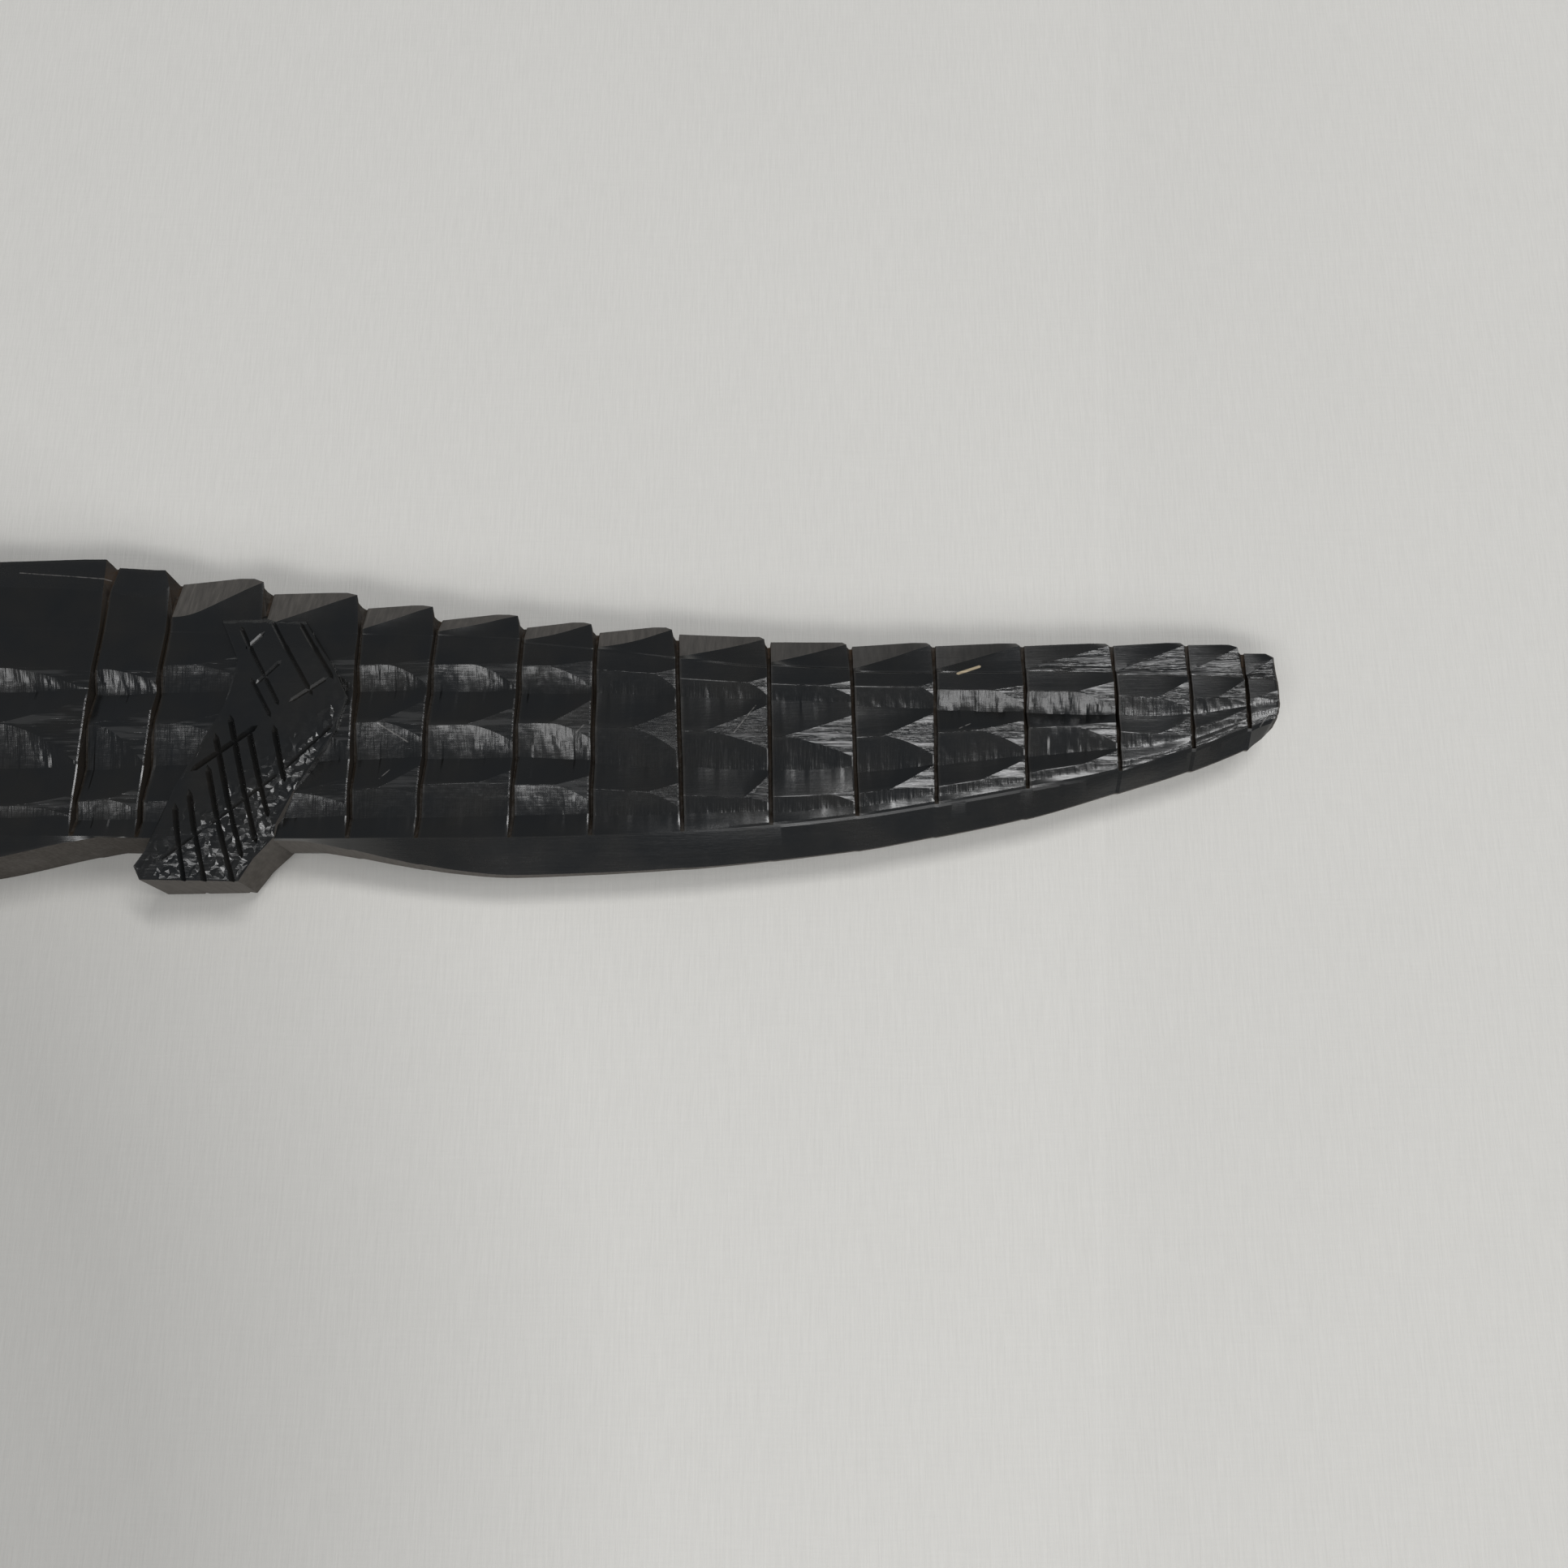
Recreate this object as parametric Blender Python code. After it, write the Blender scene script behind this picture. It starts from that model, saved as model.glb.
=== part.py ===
"""Wooden alligator carving, cut from one board and lying on its right flank.

The carving is drawn in millimetres in its carver's frame: x runs from the snout (-) to the tail (+), y is the
height above the soles, and z goes out from the middle of the board to the left flank (+). place() turns that
into metres with the carving lying down: the snout at -X, the back at +Y and the left flank facing up.
"""

import bisect
import math

import bmesh
import bpy
from mathutils.geometry import delaunay_2d_cdt

MM = 0.001

# Overall sizes
LENGTH = 390.0
HEIGHT = 57.6
BOARD = 14.0

# Rows of one flank, from the rim of the back down to the keel of the belly
ROWS = 14
RIM, BROW, VALLEY_0, RIDGE_1, VALLEY_1, RIDGE_2, VALLEY_2, RIDGE_3, VALLEY_3, ARRIS, KEEL = (
    0, 1, 2, 3, 5, 6, 8, 9, 11, 12, 13)
RIDGE_ROOM = 0.8
LEAST_GAP = 0.16

# How full the section is at each row, as a share of the flank's half thickness
LEVEL = (0.40, 0.80, 0.86, 0.97, 0.97, 1.0, 1.0, 1.0, 1.0, 0.99, 0.99, 0.97, 0.95, 0.9)

# The row under the rim: a level drop on the body, and a slanted facet of each ring on the tail and head
BROW_DROP = 5.5
BROW_FALL = 1.5
BROW_BODY = (-135.0, -115.0, 0.0, 12.0)
BROW_START = 0.12
BROW_RISE = 0.8
BROW_GAP = 0.3
BROW_LEVEL = 0.84
RIM_CHAMFER = 0.9

# Heights of the rows at these places along the animal
PLACES = (-195, -188, -165, -145, -130, -114, -60, -15, 63, 114, 160, 175, 190, 195)
HEIGHTS = {
    VALLEY_0: (32.9, 36.8, 38.0, 41.5, 45.5, 42.0, 44.0, 43.5, 41.6, 36.9, 36.2, 36.0, 35.6, 35.4),
    RIDGE_1: (32.3, 35.2, 36.0, 38.5, 41.0, 35.5, 36.5, 36.0, 36.5, 33.4, 32.6, 31.8, 32.0, 32.2),
    VALLEY_1: (31.7, 33.8, 34.2, 35.5, 36.5, 31.5, 32.0, 32.0, 32.3, 30.6, 28.9, 28.4, 30.5, 31.2),
    RIDGE_2: (31.0, 31.8, 31.6, 31.0, 30.0, 27.0, 26.3, 26.2, 26.4, 24.6, 26.3, 25.6, 29.3, 30.3),
    VALLEY_2: (30.3, 30.0, 29.5, 28.3, 26.0, 21.5, 19.6, 18.9, 21.1, 18.6, 22.3, 23.7, 28.4, 29.7),
    RIDGE_3: (29.7, 28.6, 27.6, 25.8, 22.8, 16.5, 13.2, 12.4, 15.8, 14.0, 19.8, 22.5, 27.7, 29.1),
    VALLEY_3: (28.6, 26.3, 24.8, 22.4, 19.4, 13.6, 10.6, 10.0, 11.0, 11.9, 18.6, 21.9, 27.3, 28.7),
    ARRIS: (27.2, 24.0, 22.2, 19.4, 16.5, 11.4, 7.8, 7.3, 7.0, 9.9, 17.3, 21.3, 26.8, 28.3),
}
BACK = ((-195, 33.5), (-188, 38.4), (-165, 39.6), (-145, 44.6), (-132, 51.4), (-122, 50.6), (-114, 52.4),
        (-87, 56.4), (-57, 57.6), (-24.5, 57.5), (-4.4, 57.4), (6.5, 55.4), (23, 53.8), (39.7, 51.2),
        (51.8, 48.9), (66.6, 47.1), (79.3, 45.3), (93.5, 44.0), (108.6, 42.3), (122.6, 41.6), (166.8, 41.6),
        (179.4, 41.8), (189, 41.5), (195, 39.6))
BELLY = ((-195, 26.2), (-188, 22.4), (-165, 20.6), (-145, 17.6), (-130, 14.4), (-114, 9.8), (-92, 7.4),
         (-78, 6.8), (-62, 3.6), (-44, 1.5), (-34, 1.6), (-22, 2.6), (3, 7.4), (28, 7.3), (48, 4.0),
         (57.5, 2.5), (67.4, 1.8), (95.5, 3.2), (115.6, 5.2), (129, 7.1), (151.4, 11.5), (167.3, 16.1),
         (179.8, 19.9), (193.2, 25.4), (195, 27.4))
NOTCH = ((-114, 1.9), (-60, 1.1), (-24.5, 0.6), (-4.4, 1.6), (6.5, 2.7), (40, 2.9), (66.6, 1.9),
         (93.5, 1.7), (108.6, 0.7), (136, 0.6), (166.8, 0.4), (180, 0.4), (189, 1.4))

# Half thicknesses: of the flanks, of the narrow rim of the back and of the sawn underside
FLANK = ((-195, 4.4), (-188, 5.0), (-165, 5.6), (-130, 6.2), (-114, 6.5), (-60, 6.6), (40, 6.5), (66, 6.1),
         (95, 5.5), (125, 5.0), (152, 4.6), (180, 3.8), (195, 3.1))
RIM_HALF = ((-195, 2.2), (-188, 3.2), (-150, 3.6), (-130, 4.2), (-114, 3.0), (-60, 2.5), (40, 2.4),
            (100, 2.2), (160, 1.9), (195, 1.5))
UNDERSIDE = ((-195, 1.8), (-165, 3.6), (-130, 5.0), (-100, 6.0), (5, 5.9), (32, 4.2), (60, 1.5), (95, 0.7),
             (118, 0.4), (195, 0.4))

# Rings between saw kerfs: the place of each kerf and its lean over 25 mm of height
KERFS = ((-114.0, 0.3), (-101.5, -0.4), (-87.5, 0.3), (-72.0, -0.5), (-57.5, 0.5), (-41.0, -0.3),
         (-24.5, -0.6), (-4.4, 0.2), (6.5, 0.7), (23.0, 0.0), (39.7, -0.5), (51.8, 0.6), (66.6, 0.2),
         (79.3, -0.2), (93.5, -1.2), (108.6, -0.4), (122.6, -0.6), (136.3, 0.4), (151.4, 0.5), (166.8, 0.2),
         (179.4, 0.6), (189.0, 0.4))
LEAN_MIDDLE = 28.0
LEAN_SPAN = 25.0
KERF_HALF = 0.3
KERF_DEPTH = 0.7
LIP_BEVEL = 0.5
RIM_BEVEL = 0.3
NOTCH_BEVEL = 0.8
CREST_RISE = 1.25

# End of the tail: a worn edge, and corners set back above and below these heights
END_SHRINK = 0.55
END_TOP = 38.0
END_BOTTOM = 31.5
LEAST_HALF = 0.3

# Gouge cuts of a ring: deep at its front, running out at its rear edge
CUT_STEPS = (0.42, 0.74)
VALLEY_DEPTHS = {VALLEY_0: 0.9, VALLEY_1: 1.4, VALLEY_2: 1.5, VALLEY_3: 1.0}
RIDGE_LOSS = 0.45
RIDGE_GAPS = {RIDGE_1: 4.5, RIDGE_2: 7.0, RIDGE_3: 3.6}
RUN_OUT = 0.87
FAR_FLANK = 0.7
FULL_FLANK = 6.5

# Head
MOUTH = (-193.0, -131.0)
MOUTH_DEPTH = 1.2
LIP = 0.9
TOOTH_PITCH = 3.1
TOOTH_SWING = 0.85
TOOTH_GROWTH = 9.0
SNOUT_EDGE = 0.9
SNOUT_SHRINK = 0.62
HEAD_U = 0.6
HEAD_SPREAD = 0.55
NECK_PLACES = (-131.5, -128.0, -124.0, -120.0, -116.5)
EYE = (-134.0, 43.6)
EYE_RINGS = ((4.3, 5.7), (3.9, 6.3), (2.7, 6.75), (1.2, 6.9))
NOSTRIL = (-188.2, 35.2)
NOSTRIL_RINGS = ((2.2, 3.1), (1.8, 4.5), (0.9, 4.85))
BOSS_SIDES = 12

# Legs: outline from the front of the sole, sizes of the hatching and its lines
LEG_PLACES = {"hind": 6.8, "front": -101.0}
LEG_OUTLINE = ((0.5, 0.0), (16.0, 0.0), (18.2, 3.6), (21.5, 7.2), (21.6, 9.2), (24.2, 14.8), (30.4, 25.0),
               (31.8, 30.9), (29.0, 36.4), (20.9, 49.3), (6.4, 49.0), (13.1, 37.2), (11.7, 29.5), (4.7, 14.8),
               (1.0, 4.6), (-0.6, 2.2))
FOLD = ((2.8, 2.6), (31.0, 27.5))
FOLD_SLOPE = 0.06
FOOT = 8.6
FOOT_SLOPE = 0.08
SHOULDER = 42.0
SHOULDER_SLOPE = 0.5
SHOULDER_LINE = (10.7, 25.2)
FOOT_LINE = (2.8, 21.3)
HATCH_HALF = 0.5
HATCH_DEPTH = 0.6
HATCH_TAPER = 1.3
THIGH_HATCH = ((15.2, 34.6, 19.8, 26.7), (12.3, 44.2, 20.9, 28.8), (17.4, 45.3, 26.4, 30.5),
               (22.2, 44.9, 29.6, 33.4), (17.1, 43.1, 14.0, 38.8), (20.8, 37.6, 16.1, 32.6),
               (29.0, 34.6, 21.8, 29.5))
SHANK_HATCH = ((5.2, 12.9, 7.3, 0.6), (7.2, 15.2, 10.5, 0.6), (9.8, 19.3, 14.9, 0.6), (10.5, 24.8, 16.6, 3.2),
               (12.6, 28.0, 18.8, 5.6), (15.9, 25.6, 20.5, 9.8), (20.0, 26.2, 22.8, 15.6),
               (6.9, 17.7, 17.8, 26.0))
FOLD_HATCH = ((2.8, 2.6, 10.5, 8.4), (10.5, 8.4, 21.9, 17.9), (21.9, 17.9, 30.2, 26.4))
RECESS_DEPTH = 0.75
RECESS_REACH = 26.0
RECESS_TOP = 44.0
RECESS_EDGE = 1.6
CDT_MERGE = 1e-5

WOOD = (0.022, 0.019, 0.017, 1.0)


def along(knots, x):
    """Value at x of a smooth curve through (place, value) knots."""
    places = [knot[0] for knot in knots]
    at = min(max(bisect.bisect_right(places, x) - 1, 0), len(knots) - 2)
    (x0, y0), (x1, y1) = knots[at], knots[at + 1]
    before = knots[max(at - 1, 0)]
    after = knots[min(at + 2, len(knots) - 1)]
    span = x1 - x0
    t = min(max((x - x0) / span, 0.0), 1.0)
    chord = (y1 - y0) / span
    slopes = []
    for first, second in ((before, (x1, y1)), ((x0, y0), after)):
        slope = (second[1] - first[1]) / (second[0] - first[0])
        limit = 3 * abs(chord)
        slopes.append(min(max(slope, -limit), limit))
    m0, m1 = slopes
    return (y0 * (1 + 2 * t) * (1 - t) ** 2 + y1 * t * t * (3 - 2 * t)
            + span * t * (1 - t) * (m0 * (1 - t) - m1 * t))


def bump(distance, reach):
    """One at no distance, falling smoothly to nothing at the reach."""
    t = max(1.0 - abs(distance) / reach, 0.0)
    return t * t * (3 - 2 * t)


def recess(x, y):
    """Depth taken off the flank so that the legs stand proud."""
    middle = sum(point[0] for point in LEG_OUTLINE) / len(LEG_OUTLINE)
    nearest = max(bump(x - place - middle, RECESS_REACH) for place in LEG_PLACES.values())
    return RECESS_DEPTH * min(RECESS_EDGE * nearest, 1.0) * bump(max(y, 0.0), RECESS_TOP) ** 0.5


def share(value, low, high):
    """Nothing at the low end, one at the high end, and in proportion between them."""
    return min(max((value - low) / (high - low), 0.0), 1.0)


def row_heights(x, top, u, spread):
    """Heights of the rows: u runs over a ring from front to rear, and spread opens the uncut ridges."""
    y = [0.0] * ROWS
    y[RIM] = top
    y[ARRIS] = along(list(zip(PLACES, HEIGHTS[ARRIS])), x)
    y[KEEL] = min(along(BELLY, x), y[ARRIS] - LEAST_GAP)
    for row in VALLEY_DEPTHS:
        y[row] = along(list(zip(PLACES, HEIGHTS[row])), x)
    for row, gap in RIDGE_GAPS.items():
        middle = along(list(zip(PLACES, HEIGHTS[row])), x)
        above, below = y[row - 1], y[row + 2]
        room = RIDGE_ROOM * min(above - middle, middle - below)
        half = min(0.5 * gap * spread + 0.5 * LEAST_GAP, room)
        y[row] = middle + half
        y[row + 1] = middle - half
    neck, nape, rump, tail = BROW_BODY
    body = share(x, neck, nape) * (1.0 - share(x, rump, tail))
    slanted = y[VALLEY_0] + BROW_GAP + (top - y[VALLEY_0] - 2 * BROW_GAP) * (BROW_START + BROW_RISE * u)
    y[BROW] = body * (top - BROW_DROP - BROW_FALL * u) + (1.0 - body) * slanted
    for row in range(1, KEEL):
        y[row] = min(y[row], y[row - 1] - LEAST_GAP)
    return y


def row_depths(x, y, u, cut, side):
    """Distances of the rows from the middle of the board, with the gouge cuts taken off."""
    skin = along(FLANK, x)
    rim = along(RIM_HALF, x)
    scale = cut * skin / FULL_FLANK * (FAR_FLANK if side < 0 else 1.0)
    z = [skin * level - recess(x, height) for level, height in zip(LEVEL, y)]
    z[RIM] = rim
    lifted = share(y[BROW], y[VALLEY_0], max(y[RIM], y[VALLEY_0] + 1.0))
    level = skin * BROW_LEVEL
    z[BROW] = min(z[BROW], level + (rim + RIM_CHAMFER - level) * lifted ** 2)
    for row, depth in VALLEY_DEPTHS.items():
        z[row] -= scale * depth * (1.0 - RUN_OUT * u ** 1.3)
    for row in RIDGE_GAPS:
        loss = scale * RIDGE_LOSS * max(0.0, 1.0 - u / CUT_STEPS[0])
        z[row] -= loss
        z[row + 1] -= loss
    z[KEEL] = min(along(UNDERSIDE, x), z[ARRIS])
    return z


def kerf_x(kerf, y):
    place, lean = kerf
    return place + lean * (y - LEAN_MIDDLE) / LEAN_SPAN


def ring_sections():
    """Cross-sections of the kerfed rings, front to rear, as (near points, far points)."""
    sections = []
    end = (LENGTH / 2, 0.0)
    for front, rear in zip(KERFS, KERFS[1:] + (end,)):
        last = rear is end
        notch_front = along(BACK, front[0]) - along(NOTCH, front[0])
        peak_rear = along(BACK, rear[0])
        drop = 0.0 if last else along(NOTCH, rear[0])
        bevel_rim = RIM_BEVEL + NOTCH_BEVEL * drop
        for u in (0.0,) + CUT_STEPS + (1.0,):
            top = notch_front + (peak_rear - notch_front) * min(CREST_RISE * u, 1.0)
            middle = front[0] + (rear[0] - front[0]) * u
            y = row_heights(middle, top, u, share(u, CUT_STEPS[0], 1.0))
            places = []
            for row, height in enumerate(y):
                bevel = bevel_rim if row == RIM else LIP_BEVEL
                if row == BROW:
                    bevel += RIM_BEVEL * bevel_rim
                x0 = kerf_x(front, height) + KERF_HALF
                x1 = rear[0] - tip_round(height) if last else kerf_x(rear, height) - bevel
                places.append(x0 + (x1 - x0) * u)
            shrink = END_SHRINK if last and u == 1.0 else 1.0
            sections.append(section(middle, places, y, u, 1.0, 0.0, shrink))
        if last:
            continue
        top = peak_rear - drop
        y = row_heights(rear[0], top, 0.5, 0.5)
        places = [kerf_x(rear, height) for height in y]
        sections.append(section(rear[0], places, y, 0.0, 1.0, KERF_DEPTH, 1.0))
    return sections


def tip_round(y):
    """How far the corners of the tail's end edge are set back."""
    return 0.35 * max(0.0, y - END_TOP) ** 2 + 0.16 * max(0.0, END_BOTTOM - y) ** 1.5


def section(x, places, y, u, cut, sink, shrink):
    """Points of one cross-section on each flank. Where sink is given, the kerf goes that much deeper."""
    sides = []
    for side in (1, -1):
        z = row_depths(x, y, u, cut, side)
        for row in range(BROW, ARRIS):
            z[row] -= sink
        sides.append([(px, py, side * max(pz * shrink, LEAST_HALF)) for px, py, pz in zip(places, y, z)])
    return sides


def head_sections():
    """Cross-sections of the head, with the mouth cut as a zigzag of teeth."""
    start, stop = MOUTH
    count = int((stop - start) / TOOTH_PITCH)
    places = [-LENGTH / 2, -LENGTH / 2 + SNOUT_EDGE]
    places += [start + TOOTH_PITCH * i for i in range(count)]
    places += [place for place in NECK_PLACES if place > places[-1] + 1.0]
    sections = []
    for i, x in enumerate(places):
        y = row_heights(x, along(BACK, x), HEAD_U, HEAD_SPREAD)
        biting = start <= x <= stop
        if biting:
            grown = 0.3 + 0.7 * share(x - start, 0.0, TOOTH_GROWTH)
            y[VALLEY_2] += TOOTH_SWING * grown * (1 if i % 2 else -1)
            y[RIDGE_2 + 1] = y[VALLEY_2] + LIP
            y[RIDGE_3] = y[VALLEY_2] - LIP
        sides = section(x, [x] * ROWS, y, 1.0, 0.0, 0.0, SNOUT_SHRINK if i == 0 else 1.0)
        if biting:
            for side, points in zip((1, -1), sides):
                px, py, pz = points[VALLEY_2]
                points[VALLEY_2] = (px, py, pz - side * MOUTH_DEPTH)
        sections.append(sides)
    return sections


def place(point):
    """Carver's millimetres to metres, with the carving on its right flank."""
    x, y, z = point
    return (x * MM, (y - HEIGHT / 2) * MM, (z + BOARD / 2) * MM)


def new_object(name, points, faces):
    mesh = bpy.data.meshes.new(name)
    mesh.from_pydata([place(point) for point in points], [], faces)
    shape = bmesh.new()
    shape.from_mesh(mesh)
    bmesh.ops.triangulate(shape, faces=shape.faces[:], quad_method="SHORT_EDGE")
    bmesh.ops.recalc_face_normals(shape, faces=shape.faces[:])
    shape.to_mesh(mesh)
    shape.free()
    obj = bpy.data.objects.new(name, mesh)
    bpy.context.scene.collection.objects.link(obj)
    return obj


def make_body(name):
    """The animal without its legs: closed loops of near and far rows, joined along its length."""
    loops = [near + far[::-1] for near, far in head_sections() + ring_sections()]
    size = 2 * ROWS
    points = [point for loop in loops for point in loop]
    faces = []
    for i in range(len(loops) - 1):
        for j in range(size):
            k = (j + 1) % size
            faces.append((i * size + j, i * size + k, (i + 1) * size + k, (i + 1) * size + j))
    for start in (0, (len(loops) - 1) * size):
        for j in range(ROWS - 1):
            faces.append((start + j, start + j + 1, start + size - 2 - j, start + size - 1 - j))
    return new_object(name, points, faces)


def cut_depth(x, y, cuts):
    """Depth of the deepest hatch cut at a point of a leg."""
    deepest = 0.0
    for x0, y0, x1, y1 in cuts:
        length = ((x1 - x0) ** 2 + (y1 - y0) ** 2) ** 0.5
        ux, uy = (x1 - x0) / length, (y1 - y0) / length
        s = (x - x0) * ux + (y - y0) * uy
        t = abs((y - y0) * ux - (x - x0) * uy)
        share = min(1.0, s / HATCH_TAPER, (length - s) / HATCH_TAPER)
        deepest = max(deepest, HATCH_DEPTH * share * max(0.0, 1.0 - t / HATCH_HALF))
    return deepest


def leg_face(x, y, cuts):
    """Distance of a leg's outer face from the middle of the board."""
    (fx, fy), (gx, gy) = FOLD
    length = ((gx - fx) ** 2 + (gy - fy) ** 2) ** 0.5
    below = ((gx - fx) * (fy - y) + (gy - fy) * (x - fx)) / length
    z = BOARD / 2 - FOLD_SLOPE * max(0.0, below)
    z -= FOOT_SLOPE * max(0.0, FOOT - y) + SHOULDER_SLOPE * max(0.0, y - SHOULDER)
    return z - cut_depth(x, y, cuts)


def hatched_side(cuts):
    """Triangles of a leg's outline with its hatch cuts in it, and where the outline's points are."""
    points = [tuple(point) for point in LEG_OUTLINE]
    count = len(points)
    edges = []
    for x0, y0, x1, y1 in cuts:
        length = ((x1 - x0) ** 2 + (y1 - y0) ** 2) ** 0.5
        ux, uy = (x1 - x0) / length, (y1 - y0) / length
        first = len(points)
        for s, t in ((0, 0), (HATCH_TAPER, HATCH_HALF), (length - HATCH_TAPER, HATCH_HALF), (length, 0),
                     (length - HATCH_TAPER, -HATCH_HALF), (HATCH_TAPER, -HATCH_HALF),
                     (HATCH_TAPER, 0), (length - HATCH_TAPER, 0)):
            points.append((x0 + s * ux - t * uy, y0 + s * uy + t * ux))
        for a, b in ((0, 1), (1, 2), (2, 3), (3, 4), (4, 5), (5, 0), (0, 6), (6, 7), (7, 3)):
            edges.append((first + a, first + b))
    across = len(points)
    points += [(x, SHOULDER) for x in SHOULDER_LINE] + [(x, FOOT) for x in FOOT_LINE]
    edges += [(across, across + 1), (across + 2, across + 3)]
    coords, _, faces, origins, _, _ = delaunay_2d_cdt(points, edges, [tuple(range(count))], 1, CDT_MERGE)
    rim = {}
    for index, sources in enumerate(origins):
        for source in sources:
            if source < count:
                rim[source] = index
    return [(c.x, c.y) for c in coords], faces, [rim[i] for i in range(count)]


def make_leg(name, place_x):
    """A pair of legs as one prism through the board, hatched on both outer faces."""
    near_cuts = THIGH_HATCH + SHANK_HATCH + FOLD_HATCH
    far_cuts = THIGH_HATCH[:4] + SHANK_HATCH[:6:2] + FOLD_HATCH
    points = []
    faces = []
    rims = []
    for side, cuts in ((1, near_cuts), (-1, far_cuts)):
        coords, triangles, rim = hatched_side(cuts)
        first = len(points)
        points += [(x + place_x, y, side * leg_face(x, y, cuts)) for x, y in coords]
        faces += [tuple(first + i for i in triangle) for triangle in triangles]
        rims.append([first + i for i in rim])
    near, far = rims
    for i in range(len(near)):
        k = (i + 1) % len(near)
        faces.append((near[i], near[k], far[k], far[i]))
    return new_object(name, points, faces)


def make_boss(name, centre, rings):
    """A round boss that shows on both flanks, as rings of (radius, distance from the middle)."""
    whole = [(radius, -z) for radius, z in rings[::-1]] + list(rings)
    points = []
    faces = []
    for radius, z in whole:
        for i in range(BOSS_SIDES):
            angle = 2 * math.pi * i / BOSS_SIDES
            points.append((centre[0] + radius * math.cos(angle), centre[1] + radius * math.sin(angle), z))
    for ring in range(len(whole) - 1):
        for i in range(BOSS_SIDES):
            k = (i + 1) % BOSS_SIDES
            a = ring * BOSS_SIDES
            faces.append((a + i, a + k, a + BOSS_SIDES + k, a + BOSS_SIDES + i))
    faces.append(tuple(range(BOSS_SIDES)))
    faces.append(tuple(range(len(points) - BOSS_SIDES, len(points))))
    return new_object(name, points, faces)


def join(body, shapes):
    """Unites the body with its other shapes, which are guides and don't render."""
    for shape in shapes:
        shape.hide_render = True
        shape.display_type = "WIRE"
        union = body.modifiers.new("with_" + shape.name, "BOOLEAN")
        union.operation = "UNION"
        union.solver = "EXACT"
        union.object = shape


def wood():
    material = bpy.data.materials.new("blackwood")
    material.use_nodes = True
    shader = material.node_tree.nodes["Principled BSDF"]
    shader.inputs["Base Color"].default_value = WOOD
    shader.inputs["Roughness"].default_value = 0.42
    shader.inputs["Metallic"].default_value = 0.0
    return material


def main():
    for obj in list(bpy.data.objects):
        bpy.data.objects.remove(obj, do_unlink=True)
    carving = make_body("alligator_carving")
    shapes = [make_leg(f"{name}_legs", place_x) for name, place_x in LEG_PLACES.items()]
    shapes.append(make_boss("eyes", EYE, EYE_RINGS))
    shapes.append(make_boss("nostrils", NOSTRIL, NOSTRIL_RINGS))
    join(carving, shapes)
    carving.data.materials.append(wood())


main()
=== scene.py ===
"""Finish of a hand-carved wooden alligator that lies on its right flank on a pale cloth.

The fine surface is worked out in millimetres in the carver's frame: x runs from the snout (-) to the tail
(+), y is the height above the soles and z goes out from the middle of the board to the left flank (+).
place() turns that into the frame's metres.
"""

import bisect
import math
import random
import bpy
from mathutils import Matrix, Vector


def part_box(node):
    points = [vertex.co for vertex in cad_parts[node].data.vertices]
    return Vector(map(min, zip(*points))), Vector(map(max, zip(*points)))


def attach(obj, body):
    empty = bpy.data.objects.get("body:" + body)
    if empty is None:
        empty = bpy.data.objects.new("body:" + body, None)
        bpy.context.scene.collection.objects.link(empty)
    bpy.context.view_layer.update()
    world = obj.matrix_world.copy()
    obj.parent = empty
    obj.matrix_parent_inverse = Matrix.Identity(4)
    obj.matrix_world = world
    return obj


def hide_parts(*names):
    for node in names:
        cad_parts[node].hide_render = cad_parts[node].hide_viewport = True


bl_info = {
    "name": "Wooden Alligator Carving",
    "version": (1, 0, 0),
    "blender": (4, 5, 0),
    "location": "3D View > Sidebar > Carving",
    "description": "Carves the fine surface of a wooden alligator and lays it on a cloth",
    "category": "Object",
}

import bmesh
import bpy
import numpy as np
from bpy.props import FloatProperty, FloatVectorProperty, IntProperty, PointerProperty
from mathutils import Vector
from mathutils.geometry import delaunay_2d_cdt

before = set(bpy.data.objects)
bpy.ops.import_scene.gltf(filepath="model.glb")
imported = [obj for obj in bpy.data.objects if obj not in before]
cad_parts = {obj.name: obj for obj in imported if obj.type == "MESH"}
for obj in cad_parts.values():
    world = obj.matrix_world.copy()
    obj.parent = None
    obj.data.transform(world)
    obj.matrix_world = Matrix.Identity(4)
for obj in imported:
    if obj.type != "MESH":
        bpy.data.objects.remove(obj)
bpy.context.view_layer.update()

NODE = "alligator_carving"
MM = 0.001

# Overall sizes, from the frame
LOW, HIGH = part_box(NODE)
LENGTH = (HIGH.x - LOW.x) / MM
BOARD = (HIGH.z - LOW.z) / MM

# Rows of one flank, from the rim of the back down to the keel of the belly
ROWS = 14
RIM, BROW, VALLEY_0, RIDGE_1, VALLEY_1, RIDGE_2, VALLEY_2, RIDGE_3, VALLEY_3, ARRIS, KEEL = (
    0, 1, 2, 3, 5, 6, 8, 9, 11, 12, 13)
VALLEYS = (VALLEY_0, VALLEY_1, VALLEY_2, VALLEY_3)
RIDGES = (RIDGE_1, RIDGE_2, RIDGE_3)

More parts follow.
